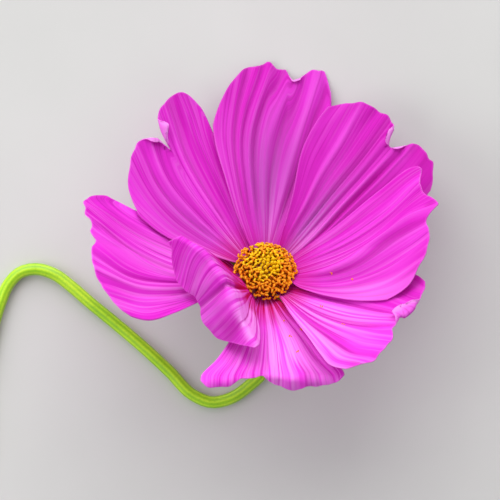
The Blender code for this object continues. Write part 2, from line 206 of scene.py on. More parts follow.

# %% [markdown]
# ## The ray petals
# A cosmos petal is a thin strap that widens from a narrow claw to a broad tip with two or three
# teeth. It is folded lengthwise in soft pleats, and its margin curls where a notch cuts in. It could
# be modelled from a plane with a few loops and a lattice, but each of these eight bends differently,
# so each is a grid whose points are pushed into place by one function: first the outline, then the
# long folds, then the curls of the margin, then the bends of the whole blade.
#
# Lengths are millimetres and angles are degrees. `reach` is a share of the petal's length. A place
# across runs from -1 at the left side to 1 at the right, and a vein has the place where it leaves the
# claw. Each petal has these numbers:
# - `left` and `right`: (reach, half width), and `tip`: (place across, reach) of the toothed margin
# - `creases`: (reach, slant, angle, share of the length that bends), and `notch`: the deepest one
# - `flow`: the places across where one vein passes, at the four shares in `FLOW_PLACES`
# - `pleats`: (vein, height, spread), and `rolls`: (station, spread, radius, angle, flap, rim used)
# - `wave` and `bow`: gentle bends of a reflexed end and of a fold
# - `crimson`: how strong the claw's colour is and how far it reaches, and `depth`: how much painted shade
#   darkens the whole petal where it faces away from the light
# - `mauve_and_painted_shade`, `painted_shade_spots` and `pale_and_painted_light`: soft spots of (vein,
#   spread, reach, spread, strength):
#  greyer mauve that is partly painted shade, darker pink that is painted shade where one petal shades the
#  next, and paler pink that is partly painted light

# %% Numbers that give each petal its form
PETAL_SEAT = 4.5
CUPPING = ((0, 0.25), (0.25, 1.35), (1, 0.7))
PETALS = {
    "petal_1": dict(
        azimuth=3, rise=19.5, roll=5, lift=0.9, length=40,
        crimson=(0.2, 0.16), depth=0.6,
        left=((0, 1.5), (0.05, 3.4), (0.12, 4.9), (0.36, 8.7), (0.62, 11.7), (0.73, 11.8), (1, 10.6)),
        right=((0, 1.5), (0.05, 2.6), (0.12, 4), (0.4, 9.3), (0.6, 11.8), (0.75, 12.5), (1, 11.6)),
        tip=(
            (-1, 0.646), (-0.92, 0.735), (-0.84, 0.804), (-0.76, 0.862), (-0.68, 0.9), (-0.6, 0.933),
            (-0.52, 0.96), (-0.44, 0.972), (-0.28, 0.976), (-0.16, 0.991), (-0.04, 1.005),
            (0.04, 0.986), (0.08, 0.976), (0.2, 0.972), (0.28, 0.965), (0.32, 0.933), (0.36, 0.914),
            (0.44, 0.914), (0.5, 0.923), (0.56, 0.943), (0.64, 0.962), (0.72, 0.976), (0.84, 0.972),
            (0.9, 0.975), (0.96, 0.948), (1, 0.857),
        ),
        creases=((0.3, 0, -6, 0.6),),
        notch=0.35,
        flow=((-1, -1, -1, -1), (-0.78, -0.78, -0.68, -0.58), (-0.17, -0.27, -0.1, 0.3),
              (0.2, 0.1, 0.3, 0.6), (0.45, 0.5, 0.66, 0.95), (1, 1.05, 1.2, 1.5)),
        pleats=(
            (-0.66, -0.3, 0.06), (-0.56, 0.15, 0.04), (-0.47, -0.25, 0.05), (-0.34, 0.2, 0.05),
            (-0.2, -0.4, 0.07), (0, 0.25, 0.08), (0.19, -0.35, 0.07), (0.37, 0.25, 0.07),
            (0.56, -0.45, 0.09),
        ),
        rolls=((0.42, 0.1, 0.45, 150, 0.25, 1.3),),
        mauve_and_painted_shade=((0.05, 0.5, 0.35, 0.35, 0.85),),
        painted_shade_spots=((-0.8, 0.2, 0.6, 0.5, 0.3), (0.9, 0.15, 0.5, 0.5, 0.5)),
        pale_and_painted_light=((-0.9, 0.15, 0.3, 0.3, 0.3), (0.3, 0.3, 0.12, 0.2, 0.4)),
    ),
    "petal_2": dict(
        azimuth=45, rise=23, roll=4.5, lift=1.3, length=38,
        crimson=(0.3, 0.18), depth=0.8,
        left=((0, 1.4), (0.05, 2), (0.12, 3.2), (0.28, 6), (0.55, 11.4), (0.69, 12.6), (1, 12)),
        right=((0, 1.4), (0.05, 2.6), (0.12, 4.2), (0.4, 10.6), (0.55, 13), (0.7, 14.2), (1, 13.4)),
        tip=(
            (-1, 0.785), (-0.92, 0.823), (-0.84, 0.857), (-0.76, 0.881), (-0.68, 0.914), (-0.56, 0.929),
            (-0.44, 0.938), (-0.32, 0.938), (-0.2, 0.953), (-0.08, 0.938), (0, 0.929), (0.04, 0.912),
            (0.08, 0.866), (0.12, 0.838), (0.18, 0.833), (0.24, 0.852), (0.3, 0.88), (0.36, 0.914),
            (0.44, 0.933), (0.56, 0.933), (0.64, 0.929), (0.72, 0.914), (0.8, 0.914), (0.88, 0.871),
            (0.96, 0.828), (1, 0.79),
        ),
        creases=((0.3, 0, 4, 0.6),),
        notch=0.18,
        flow=((-1, -1, -1, -1), (-0.62, -0.5, -0.5, -0.66), (-0.12, -0.08, -0.06, -0.1),
              (0.5, 0.24, 0.2, 0.22), (0.75, 0.42, 0.38, 0.42), (1, 1, 1, 1)),
        pleats=(
            (-0.62, 0.35, 0.06), (-0.42, -0.15, 0.06), (-0.24, 0.15, 0.05), (-0.1, -0.25, 0.05),
            (0.12, 0.2, 0.07), (0.3, -0.2, 0.06), (0.5, 0.35, 0.05), (0.63, -0.4, 0.05),
            (0.72, 0.2, 0.03),
            (0.8, -0.2, 0.04),
        ),
        rolls=((0.07, 0.07, 0.6, 155, 0.5, 1.6), (0.25, 0.06, 0.4, 150, 0.2, 1.2)),
        mauve_and_painted_shade=((-0.05, 0.4, 0.25, 0.3, 0.9),),
        painted_shade_spots=((0.7, 0.3, 0.7, 0.6, 0.9), (0.95, 0.2, 0.5, 0.5, 0.9), (0.85, 0.35, 0.95, 0.25, 1.1)),
        pale_and_painted_light=((0.3, 0.35, 0.12, 0.2, 0.5),),
    ),
    "petal_3": dict(
        azimuth=89, rise=29, roll=-4.5, lift=2.0, length=36,
        crimson=(0.4, 0.22), depth=0.45,
        left=((0, 1.4), (0.05, 2.7), (0.15, 4.2), (0.31, 6.4), (0.6, 11.2), (0.84, 14.2), (1, 13.6)),
        right=((0, 1.5), (0.05, 3.8), (0.15, 6.6), (0.3, 9.7), (0.48, 12.5), (0.61, 13.8), (1, 12.5)),
        tip=(
            (-1, 0.79), (-0.96, 0.862), (-0.91, 0.885), (-0.84, 0.88), (-0.745, 0.876), (-0.625, 0.878),
            (-0.52, 0.884), (-0.46, 0.905), (-0.38, 0.94), (-0.28, 0.968), (-0.22, 0.976),
            (-0.17, 0.935), (-0.12, 0.9), (0.12, 0.907), (0.24, 0.9), (0.36, 0.889), (0.48, 0.876),
            (0.6, 0.847), (0.72, 0.821), (0.8, 0.795), (0.94, 0.71), (1, 0.62),
        ),
        creases=((0.2, 0, 18, 0.7),),
        notch=-0.2,
        flow=((-1, -1, -1, -1), (-0.35, -0.38, -0.5, -0.66), (0.45, 0.17, -0.22, -0.2),
              (0.85, 0.68, 0.5, 0.33), (1, 1, 1, 1)),
        pleats=(
            (-0.75, -0.2, 0.07), (-0.55, 0.15, 0.06), (-0.35, 0.2, 0.05), (-0.1, -0.15, 0.08),
            (0.42, 0.5, 0.08), (0.54, -0.45, 0.06), (0.66, 0.15, 0.04), (0.75, -0.12, 0.03),
            (0.85, 0.2, 0.04),
        ),
        mauve_and_painted_shade=((0.65, 0.15, 0.4, 0.4, 0.35),),
        painted_shade_spots=((-0.6, 0.3, 0.4, 0.4, 0.35), (0.28, 0.12, 0.92, 0.06, 0.9)),
        pale_and_painted_light=((0.93, 0.12, 0.45, 0.4, 0.35), (0.1, 0.3, 0.25, 0.2, 0.2), (-0.85, 0.12, 0.15, 0.2, 0.3)),
    ),
    "petal_4": dict(
        azimuth=135, rise=35, roll=-8, lift=0.6, length=38,
        crimson=(0.85, 0.26), depth=0.1,
        left=((0, 1.4), (0.05, 2.4), (0.12, 4), (0.4, 10.8), (0.55, 13.6), (0.68, 14.6), (0.78, 13.5),
              (1, 12)),
        right=((0, 1.4), (0.05, 2.2), (0.25, 5.8), (0.58, 10.9), (0.72, 13.2), (0.86, 15.1), (1, 14.6)),
        tip=(
            (-1, 0.771), (-0.92, 0.807), (-0.84, 0.828), (-0.72, 0.847), (-0.6, 0.866), (-0.48, 0.89),
            (-0.3, 0.89), (-0.24, 0.882), (-0.12, 0.888), (0, 0.89), (0.04, 0.9), (0.08, 0.921),
            (0.12, 0.943), (0.2, 0.972), (0.28, 0.991), (0.36, 1), (0.44, 1.015), (0.56, 1.039),
            (0.64, 1.043), (0.72, 1.043), (0.8, 1.029), (0.88, 1.012), (0.96, 0.981), (1, 0.967),
        ),
        creases=((0.3, 0, 8, 0.5),),
        notch=-0.4,
        flow=((-1, -1, -1, -1), (-0.3, -0.3, -0.28, -0.35), (0.4, 0.31, 0.12, -0.05),
              (0.65, 0.58, 0.47, 0.45), (1, 1, 1, 1)),
        pleats=(
            (-0.5, 0.2, 0.07), (-0.25, -0.35, 0.08), (0.12, 0.35, 0.12), (0.38, -0.35, 0.05),
            (0.5, 0.25, 0.05), (0.62, -0.2, 0.04), (0.7, 0.15, 0.04), (0.79, -0.3, 0.04),
            (0.89, 0.3, 0.06),
        ),
        rolls=((-0.36, 0.24, 0.5, 165, 2.5, 2.6),),
        painted_shade_spots=((-0.85, 0.45, 0.6, 0.5, 0.95),),
        pale_and_painted_light=((0.12, 0.2, 0.5, 0.45, 0.75), (0.5, 0.2, 0.4, 0.4, 0.7), (0.92, 0.2, 0.5, 0.5, 0.8)),
    ),
    "petal_5": dict(
        azimuth=181, rise=29, roll=3, lift=0, length=31.5,
        crimson=(1.0, 0.36), depth=0.0,
        left=((0, 1.4), (0.05, 2.4), (0.25, 5.2), (0.5, 9), (0.79, 12.2), (0.9, 13.5), (1, 14)),
        right=((0, 1.4), (0.05, 2.2), (0.25, 4.2), (0.56, 7.8), (0.75, 10.6), (0.9, 13.4), (1, 13.8)),
        tip=(
            (-1, 0.932), (-0.88, 0.95), (-0.8, 0.955), (-0.72, 0.958), (-0.6, 0.972), (-0.52, 0.957),
            (-0.48, 0.957), (-0.4, 0.981), (-0.32, 0.996), (-0.2, 0.981), (-0.08, 0.957), (0, 0.929),
            (0.08, 0.895), (0.12, 0.876), (0.16, 0.876), (0.24, 0.89), (0.36, 0.9), (0.44, 0.9),
            (0.52, 0.924), (0.64, 0.948), (0.72, 0.95), (0.8, 0.95), (0.92, 0.95), (1, 0.935),
        ),
        creases=((0.3, 0, 4, 0.5), (0.88, 0, -100, 0.05)),
        wave=((-14, -1.4), (-9, -0.6), (-3, 0.1), (1.5, 1.0), (4, 0.3), (9, -0.5), (14, -1.4)),
        notch=0.12,
        flow=((-1, -1, -1, -1), (-0.68, -0.71, -0.76, -0.85), (-0.22, -0.18, -0.14, -0.12),
              (0.1, 0.03, 0.05, 0.06), (1, 1, 1, 1)),
        pleats=(
            (-0.68, -0.3, 0.05), (-0.5, 0.2, 0.08), (-0.36, -0.15, 0.04), (-0.22, -0.3, 0.04),
            (-0.08, 0.25, 0.05), (0.1, -0.3, 0.03), (0.24, 0.25, 0.06), (0.42, -0.2, 0.05),
            (0.6, 0.2, 0.06),
        ),
        mauve_and_painted_shade=((0, 2.0, 1.0, 0.055, 0.7),),
        pale_and_painted_light=((-0.25, 0.5, 0.6, 0.45, 0.95), (-0.9, 0.15, 0.5, 0.5, 0.8), (0.6, 0.4, 0.6, 0.4, 0.5)),
    ),
    "petal_6": dict(
        azimuth=219, rise=60.4, roll=-24.3, lift=1.4, length=34.5, seat=4.8,
        crimson=(1.0, 0.62), depth=0.0,
        left=((0, 1.5), (0.05, 2.5), (0.12, 3.9), (0.4, 10.6), (0.55, 13), (0.7, 14), (1, 12.6)),
        right=((0, 1.4), (0.05, 2.3), (0.12, 3.5), (0.4, 9.6), (0.55, 11.7), (0.7, 12.6), (1, 11.3)),
        tip=(
            (-1, 0.624), (-0.93, 0.65), (-0.8, 0.731), (-0.6, 0.846), (-0.4, 0.875), (-0.2, 0.91),
            (-0.05, 0.895), (0.1, 0.886), (0.3, 0.916), (0.6, 0.92), (0.8, 0.815), (0.92, 0.74),
            (1, 0.713),
        ),
        creases=((0.607, 1.9, -124, 0.05),),
        cupping=((0, 0), (1, 0)),
        notch=-0.05,
        flow=((-1, -1, -1, -1), (-0.4, -0.4, -0.42, -0.5), (0, 0, 0, -0.03),
              (0.4, 0.4, 0.35, 0.12), (0.8, 0.8, 0.72, 0.4), (1.6, 1.6, 1.45, 1.1)),
        pleats=(
            (-0.6, -0.3, 0.1), (-0.35, 0.15, 0.07), (-0.2, 0.3, 0.09), (-0.04, -0.42, 0.05),
            (0.2, 0.15, 0.07),
            (0.45, -0.15, 0.06), (0.68, 0.15, 0.06),
        ),
        bow=((-1, -0.3), (-0.5, 0), (0, 0.9), (0.3, 0.7), (0.55, 0.4), (0.8, -0.9), (1, -2.3)),
        mauve_and_painted_shade=((0, 1.5, 0.84, 0.15, 0.4),),
        painted_shade_spots=((-0.5, 0.45, 0.74, 0.08, 0.7), (-0.5, 0.45, 0.88, 0.1, 0.45)),
        pale_and_painted_light=((-0.65, 0.5, 0.58, 0.05, 1.8), (-0.65, 0.5, 0.48, 0.08, 1.6),
              (-0.75, 0.5, 0.36, 0.13, 1.3),
              (-0.05, 0.22, 0.57, 0.06, 1.6), (-0.05, 0.22, 0.46, 0.09, 1.2),
              (0.5, 0.6, 0.56, 0.06, 0.5), (0.4, 0.6, 0.85, 0.2, 0.3), (-0.1, 0.05, 0.85, 0.25, 0.7)),
    ),
    "petal_7": dict(
        azimuth=-97, rise=29.5, roll=13, lift=-0.1, length=36.5,
        crimson=(1.0, 0.36), depth=0.05,
        left=((0, 1.4), (0.05, 2.4), (0.15, 4.4), (0.4, 9.8), (0.6, 14.2), (0.82, 18.2), (1, 18.8)),
        right=((0, 1.4), (0.05, 3.6), (0.15, 6.4), (0.45, 10), (0.6, 11.4), (0.85, 13.4), (1, 13.2)),
        tip=(
            (-1, 0.938), (-0.96, 0.986), (-0.88, 1.024), (-0.8, 1.048), (-0.72, 1.082), (-0.6, 1.063),
            (-0.54, 1.08), (-0.4, 1.091), (-0.24, 1.072), (-0.12, 1.053), (0, 1), (0.04, 0.991),
            (0.12, 1.01), (0.2, 1.015), (0.28, 1), (0.44, 1.02), (0.56, 1.02), (0.64, 1.01),
            (0.7, 1.015), (0.76, 1.01), (0.84, 0.979), (0.92, 0.938), (1, 0.838),
        ),
        creases=((0.2, 0, 14, 0.7),),
        notch=0.04,
        flow=((-1, -1, -1, -1), (-0.75, -0.75, -0.7, -0.72), (-0.35, -0.37, -0.34, -0.2),
              (-0.1, -0.2, 0.05, 0.4), (0.3, 0.25, 0.45, 0.75), (1, 1.05, 1.1, 1.3)),
        pleats=(
            (-0.76, 0.25, 0.05), (-0.67, -0.2, 0.04), (-0.53, 0.25, 0.07), (-0.35, -0.3, 0.04),
            (-0.12, 0.35, 0.05), (0.02, -0.3, 0.06), (0.3, 0.15, 0.06), (0.45, -0.15, 0.05),
            (0.62, 0.15, 0.05),
        ),
        pale_and_painted_light=((-0.6, 0.2, 0.5, 0.4, 0.5), (0.2, 0.4, 0.45, 0.25, 0.4)),
    ),
    "petal_8": dict(
        azimuth=-43, rise=19, roll=9, lift=0.7, length=36.6,
        crimson=(0.6, 0.22), depth=0.35,
        left=((0, 1.4), (0.05, 3.2), (0.15, 6.2), (0.3, 10), (0.4, 12.1), (0.55, 13.8), (1, 12.8)),
        right=((0, 1.4), (0.05, 2.4), (0.15, 4.2), (0.3, 6.8), (0.68, 11.3), (0.79, 12.3), (1, 12.2)),
        tip=(
            (-1, 0.589), (-0.96, 0.603), (-0.92, 0.651), (-0.84, 0.732), (-0.76, 0.78), (-0.64, 0.823),
            (-0.52, 0.859), (-0.4, 0.876), (-0.28, 0.89), (-0.16, 0.881), (-0.04, 0.854), (0.02, 0.835),
            (0.07, 0.775), (0.1, 0.75), (0.14, 0.85), (0.2, 0.905), (0.27, 0.935), (0.36, 0.96),
            (0.52, 0.972), (0.66, 0.981), (0.76, 0.978), (0.84, 0.97), (0.91, 0.95),
            (0.96, 0.91), (1, 0.83),
        ),
        creases=((0.2, 0, 16, 0.7),),
        notch=0.1,
        flow=((-1, -1, -1, -1), (-0.75, -0.75, -0.72, -0.72), (-0.4, -0.4, -0.38, -0.25),
              (0.15, 0.17, 0.25, 0.5), (0.65, 0.67, 0.78, 0.92), (1, 1, 1.1, 1.3)),
        pleats=(
            (-0.7, 0.15, 0.07), (-0.4, -0.3, 0.04), (-0.29, 0.35, 0.04), (-0.19, -0.2, 0.03),
            (-0.09, 0.2, 0.04), (0.14, 0.3, 0.05), (0.26, -0.25, 0.06), (0.45, 0.12, 0.05),
            (0.65, -0.12, 0.06),
        ),
        rolls=((-0.05, 0.12, 0.45, 165, 0.6, 1.6), (0.17, 0.05, 0.6, 155, 1.0, 1.9)),
        mauve_and_painted_shade=((-0.5, 0.3, 0.3, 0.3, 0.5),),
        pale_and_painted_light=((-0.9, 0.12, 0.15, 0.15, 0.5), (-0.1, 0.3, 0.1, 0.15, 0.4)),
    ),
}
BOW_ALONG = ((0, 0), (0.3, 0.35), (0.6, 1), (1, 1))
FLOW_PLACES = (0, 0.4, 0.75, 1)
PLEAT_START = (0.08, 0.3)   # the reach over which the pleats begin
PLEAT_TIP_SHARE = 0.55      # what is left of their height at the margin
PLEAT_STRENGTH = 1.3
RUFFLES = ((0.22, 9.5, "azimuth"), (0.12, 23, "length"))    # height, waves, and what shifts them
print(len(PETALS), "petals,", min(p["length"] for p in PETALS.values()), "to",
      max(p["length"] for p in PETALS.values()), "mm long")

# %% [markdown]
# `smooth` reads a soft curve through a few points, and `crease` bends a blade past a line across it.
# The folds of a blade follow its veins, which drift sideways on their way up, so `vein_place` says
# which vein each point lies on, and every pleat keeps to its own vein.

# %% Curves, creases and the course of the veins


def smooth(points, at):
    """A cubic through the points, with slopes from their neighbours, read at each place."""
    known, values = np.array(points, float).T
    slope = np.gradient(values, known)
    at = np.clip(at, known[0], known[-1])
    i = np.clip(np.searchsorted(known, at, side="right") - 1, 0, len(known) - 2)
    step = known[i + 1] - known[i]
    f = (at - known[i]) / step
    start = (1 + 2 * f) * (1 - f) ** 2 * values[i] + f * (1 - f) ** 2 * step * slope[i]
    end = f * f * (3 - 2 * f) * values[i + 1] + f * f * (f - 1) * step * slope[i + 1]
    return start + end


def crease(points, line, length):
    """Bends every point past the line, along a round of the given share of the length."""
    middle_share, slant, angle, share = line
    turn = math.radians(slant)
    along = np.array([math.cos(turn), math.sin(turn)])
    away = np.array([-math.sin(turn), math.cos(turn)])
    middle = np.array([0, middle_share * length])
    bend = share * length
    flat = points[:, :2] - middle
    in_bend = np.clip(flat @ away, 0, bend)
    radius = bend / math.radians(angle)
    phi = in_bend / radius
    beyond = flat @ away - in_bend
    across = radius * np.sin(phi) + np.cos(phi) * beyond - np.sin(phi) * points[:, 2]
    height = radius * (1 - np.cos(phi)) + np.sin(phi) * beyond + np.cos(phi) * points[:, 2]
    moved = middle + np.outer(flat @ along, along) + np.outer(across, away)
    return np.column_stack([moved, height])


def vein_place(petal, along, across):
    """The place across the claw, from -1 to 1, where the vein that each point lies on began."""
    courses = [smooth(list(zip(FLOW_PLACES, line)), along) for line in petal["flow"]]
    claw = [line[0] for line in petal["flow"]]
    vein = np.full_like(across, claw[-1])
    for k in range(len(courses) - 2, -1, -1):
        share = (across - courses[k]) / (courses[k + 1] - courses[k])
        vein = np.where(across <= courses[k + 1], claw[k] + share * (claw[k + 1] - claw[k]), vein)
    return vein


def flat_place(petal, along, across):
    """Where a point of the petal's grid lies on the blade while it is still flat, in millimetres."""
    reach = along * smooth(petal["tip"], across)
    edge = np.where(across < 0, smooth(petal["left"], reach), smooth(petal["right"], reach))
    return np.column_stack([edge * across, reach * petal["length"]]), reach


print("curves and creases ready")

# %% [markdown]
# Where a notch cuts into a cosmos petal, the margin often rolls up and over, and shows its pale back.
# A lattice can't roll a thin rim, and a curve with a bevel would hide the seam badly, so the rim of
# the blade itself is rolled: points near the margin are walked round a small bend and laid back.

# %% The functions that roll the margin and shape a blade
OUTLINE_STEPS = 120
OUTLINE_START = 0.2
LEAST = 1e-6                # keeps a division safe
LEAST_RADIUS = 1e-3
FULL_ROLL = 1.5             # a roll keeps its whole angle where its share is over 1 / 1.5
ROLL_ENDS = 0.02            # the share under which the margin stays as it is
TRUSTED_GAP = 0.25          # nearer to the rim, the inward direction is the rim's own
POINTS_AT_A_TIME = 4000


def outline_of(petal):
    """Flat points round the margin, their inward directions, and stations: -2 to -1 up the left side,
    -1 to 1 over the tip, and 1 to 2 down the right side."""
    side = np.linspace(OUTLINE_START, 1, OUTLINE_STEPS)
    over = np.linspace(-1, 1, 5 * OUTLINE_STEPS)
    along = np.concatenate([side, np.ones(len(over)), side[::-1]])
    across = np.concatenate([-np.ones(len(side)), over, np.ones(len(side))])
    station = np.concatenate([side - 2, over, 2 - side[::-1]])
    rim, _ = flat_place(petal, along, across)
    forward = np.gradient(rim, axis=0)
    inward = np.column_stack([forward[:, 1], -forward[:, 0]])
    return rim, inward / np.maximum(np.linalg.norm(inward, axis=1), LEAST)[:, None], station


def nearest_rim(place, rim):
    """For each point, the number of the nearest point of the rim and how far it is."""
    number = np.empty(len(place), int)
    gap = np.empty(len(place))
    for start in range(0, len(place), POINTS_AT_A_TIME):
        part = slice(start, start + POINTS_AT_A_TIME)
        square = ((place[part, None, :] - rim[None]) ** 2).sum(axis=2)
        number[part] = square.argmin(axis=1)
        gap[part] = np.sqrt(square.min(axis=1))
    return number, gap


def roll_margin(points, place, nearest, outline, roll):
    """Rolls the margin up and over round one station, as a strip walked round a small cylinder."""
    centre, spread, widest, angle, flap, used = roll
    rim, inward, station = outline
    number, gap = nearest
    share = np.exp(-(((station[number] - centre) / spread) ** 2))
    radius = np.maximum(widest * share, LEAST_RADIUS)
    turn = math.radians(angle) * np.clip(FULL_ROLL * share, 0, 1)
    bend_start = used - radius
    walked = (bend_start + radius * turn + flap * share) * (1 - gap / used)
    phi = np.clip((walked - bend_start) / radius, 0, turn)
    past = np.clip(walked - bend_start - radius * turn, 0, None)
    curled = radius - radius * np.sin(phi) - past * np.cos(turn)
    from_rim = np.where(walked < bend_start, used - walked, curled)
    height = radius * (1 - np.cos(phi)) + past * np.sin(turn)
    own = (place - rim[number]) / np.maximum(gap, LEAST)[:, None]
    trust = np.clip(gap / TRUSTED_GAP, 0, 1)[:, None]
    direction = trust * own + (1 - trust) * inward[number]
    direction = direction / np.maximum(np.linalg.norm(direction, axis=1), LEAST)[:, None]
    rolled = np.column_stack([rim[number] + from_rim[:, None] * direction, points[:, 2] + height])
    inside = ((gap < used) & (share > ROLL_ENDS))[:, None]
    return np.where(inside, rolled, points)


def folds(petal, along, across, reach):
    """Height of the long folds over the flat blade, which keep to the veins and fade towards the claw."""
    low, high = PLEAT_START
    fade = np.clip((reach - low) / (high - low), 0, 1)
    fade = fade * (1 - (1 - PLEAT_TIP_SHARE) * np.clip(4 * along - 3, 0, 1))
    vein = vein_place(petal, along, across)
    z = np.zeros_like(reach)
    for centre, height, spread in petal["pleats"]:
        z = z + PLEAT_STRENGTH * height * fade * np.exp(-(((vein - centre) / spread) ** 2))
    return z


def ruffle(petal, along, across):
    """Height of the soft waves in the margin of the tip."""
    waves = sum(height * np.sin(count * across + petal[shift]) for height, count, shift in RUFFLES)
    return waves * np.clip(5 * along - 4, 0, 1)


def petal_points(petal, along, across):
    """Puts points of the petal's grid (share of its length, place across) in place, in millimetres."""
    place, reach = flat_place(petal, along, across)
    z = smooth(petal.get("cupping", CUPPING), reach) * across**2
    z = z + folds(petal, along, across, reach) + ruffle(petal, along, across)
    points = np.column_stack([place, z])
    if "rolls" in petal:
        outline = outline_of(petal)
        nearest = nearest_rim(place, outline[0])
        for roll in petal["rolls"]:
            points = roll_margin(points, place, nearest, outline, roll)
    wave = smooth(petal["wave"], place[:, 0]) if "wave" in petal else 0
    points[:, 1] += wave
    for line in reversed(petal["creases"]):
        points = crease(points, line, petal["length"])
    points[:, 1] -= wave
    if "bow" in petal:
        points[:, 2] += smooth(BOW_ALONG, reach) * smooth(petal["bow"], across)
    return points


tip = petal_points(PETALS["petal_1"], np.array([1.0]), np.array([0.0]))
print("a petal's tip reaches", tip.round(1), "mm")

# %% [markdown]
# ### What petal tissue looks like
# A cosmos petal is soft living tissue, two cell layers thick: satin rather than glossy, bright where
# light passes through it, and drawn all over with fine veins that run from the claw to the teeth.
# Its body is magenta pink with crimson at the claw, and its back is paler. Painted shade darkens the
# valleys of its folds, whole petals that face away from the light, and spots where one petal shades
# the next, and a painted highlight lightens the ridges of the folds and the margin. Greyer mauve
# patches are partly painted shade where a face turns from the light, and paler pink patches are partly
# painted light where a face is lit. The pattern follows the veins themselves, so it stays with the
# petal in every bend. Real veins lie 0.3 to 0.4 mm apart: about seventy across a blade of 26 mm.
# Between them lie streaks of 1 mm and soft tones of 4 mm. Matt roughness keeps the colour full, and
# the light that passes through is a translucent share.

# %% The petal tissue material
VEINS_ACROSS = 70
LINES_ACROSS = 30
TONES_ACROSS = 6
NEXT_PETAL = 7.3            # how far apart two petals lie in the noise, so that no two are alike
TISSUE_GLOW = 0.25


def streaks(tree, vein, reach, number, across, lengthwise, detail=2.0):
    """Noise drawn out along the veins: so many streaks across a blade, so many changes along it."""
    axes = (("X", vein, across / 2), ("Y", reach, lengthwise), ("Z", number, NEXT_PETAL))
    place = add(tree, "ShaderNodeCombineXYZ", {
        axis: add(tree, "ShaderNodeMath", {0: value, 1: times}, operation="MULTIPLY")
        for axis, value, times in axes})
    return add(tree, "ShaderNodeTexNoise", {
        "Vector": place, "Scale": 1.0, "Detail": detail, "Roughness": 0.55})


def make_petal_tissue():
    made, tree, shader = new_material("cosmos_petal_tissue", Roughness=0.6, Specular_IOR_Level=0.03)
    vein, reach, number, upper_side, fold, rim_gap, depth, mauve_and_painted_shade, pale_and_painted_light, crimson = (
        add(tree, "ShaderNodeAttribute", output="Fac", attribute_name=name)
        for name in ("vein", "reach", "petal_number", "upper_side", "fold", "rim_gap",
                     "depth", "mauve_and_painted_shade", "pale_and_painted_light", "crimson"))
    tones = streaks(tree, vein, reach, number, TONES_ACROSS, 1.6)
    lines = streaks(tree, vein, reach, number, LINES_ACROSS, 0.7)
    veins = streaks(tree, vein, reach, number, VEINS_ACROSS, 1.4, detail=1.0)
    painted_valley_shade, painted_ridge_highlight, rim, wide_rim = (
        add(tree, "ShaderNodeMapRange", {0: value, 1: low, 2: high, 3: at_low, 4: 1 - at_low},
            interpolation_type="SMOOTHSTEP")
        for value, low, high, at_low in (
            (fold, -0.5, -0.05, 1.0), (fold, 0.05, 0.5, 0.0),
            (rim_gap, 0.12, 0.35, 1.0), (rim_gap, 0.2, 0.9, 1.0)))

    body = add(tree, "ShaderNodeValToRGB", {0: tones},
               stops=((0.35, "#E62AD2"), (0.5, "#F236E2"), (0.65, "#FA48F0")))
    for colour, strength, pattern, *stops in (
        ("#BC20AC", 0.3, lines, (0.34, 1.0), (0.48, 0.0)),          # darker streaks
        ("#FF78F8", 0.3, lines, (0.52, 0.0), (0.62, 1.0)),          # lighter streaks
        ("#FF8CFA", 0.3, veins, (0.56, 0.0), (0.66, 1.0)),          # fine light veins
        ("#B01698", 0.45, veins, (0.34, 1.0), (0.42, 0.0)),         # fine dark veins
        ("#C620AC", 0.75, depth),                                   # painted shade: deeper pink on petals that face away from the light, and in spots where one petal shades the next
        # painted shade in the valleys of the folds
        ("#B81E9E", 0.55, painted_valley_shade),
        # painted highlight on the ridges of the folds
        ("#FF6CF6", 0.45, painted_ridge_highlight),
        ("#B85CB8", mauve_and_painted_shade, lines, (0.35, 0.5), (0.6, 0.9)),         # greyer mauve, partly painted shade on faces turned from the light
        ("#FFA4FC", pale_and_painted_light, lines, (0.42, 0.1), (0.54, 1.0)),         # paler pink, partly painted light on lit faces
        ("#C40850", crimson, lines, (0.46, 1.0), (0.58, 0.25)),     # the claw's streaks
        # a thin painted highlight along the margin
        ("#FF9CF8", 0.12, rim),
    ):
        body = lay_over(tree, body, colour, strength, pattern, *stops)

    back = add(tree, "ShaderNodeValToRGB", {0: tones}, stops=((0.35, "#E85CDC"), (0.65, "#F87AEE")))
    back = lay_over(tree, back, "#C63CB6", 0.4, veins, (0.34, 1.0), (0.5, 0.0))
    back = lay_over(tree, back, "#FFB4FC", 0.5, wide_rim)
    colour = lay_over(tree, back, body, 1.0, upper_side)
    link_tissue(tree, shader, colour, weighed(tree, (veins, 0.5), (lines, 0.9)), 0.3, 0.2, TISSUE_GLOW)
    return made


petal_tissue = make_petal_tissue()
print("petal tissue:", len(petal_tissue.node_tree.nodes), "nodes")

# %% [markdown]
# ### Making the eight blades
# Each blade starts as a flat grid in the XY plane. Its rows are gathered towards the tip and its
# columns towards the notch, where the margin rolls tightly. The points are moved into the petal's
# shape, Solidify gives the tissue its thickness, and numbers noted on the points tell the material
# which side is the upper one, which vein and fold a point lies on, how far the rim is, where painted
# shade darkens the pink, where it is mauve (partly painted shade) or pale (partly painted light), and
# where it is crimson.

# %% Make the petals
PETAL_COLUMNS = 150
PETAL_ROWS = 120
PETAL_THICKNESS = 0.22
CRIMSON_FADE = 0.6          # the outer share of the claw's colour over which it fades
PALE_OVER_CRIMSON = 1.6     # how much a pale spot takes away from the claw's colour
TIP_GATHER = (1, 2.5, 0.14)     # where, how much closer, and over what spread
NOTCH_GATHER = (1.5, 0.15)


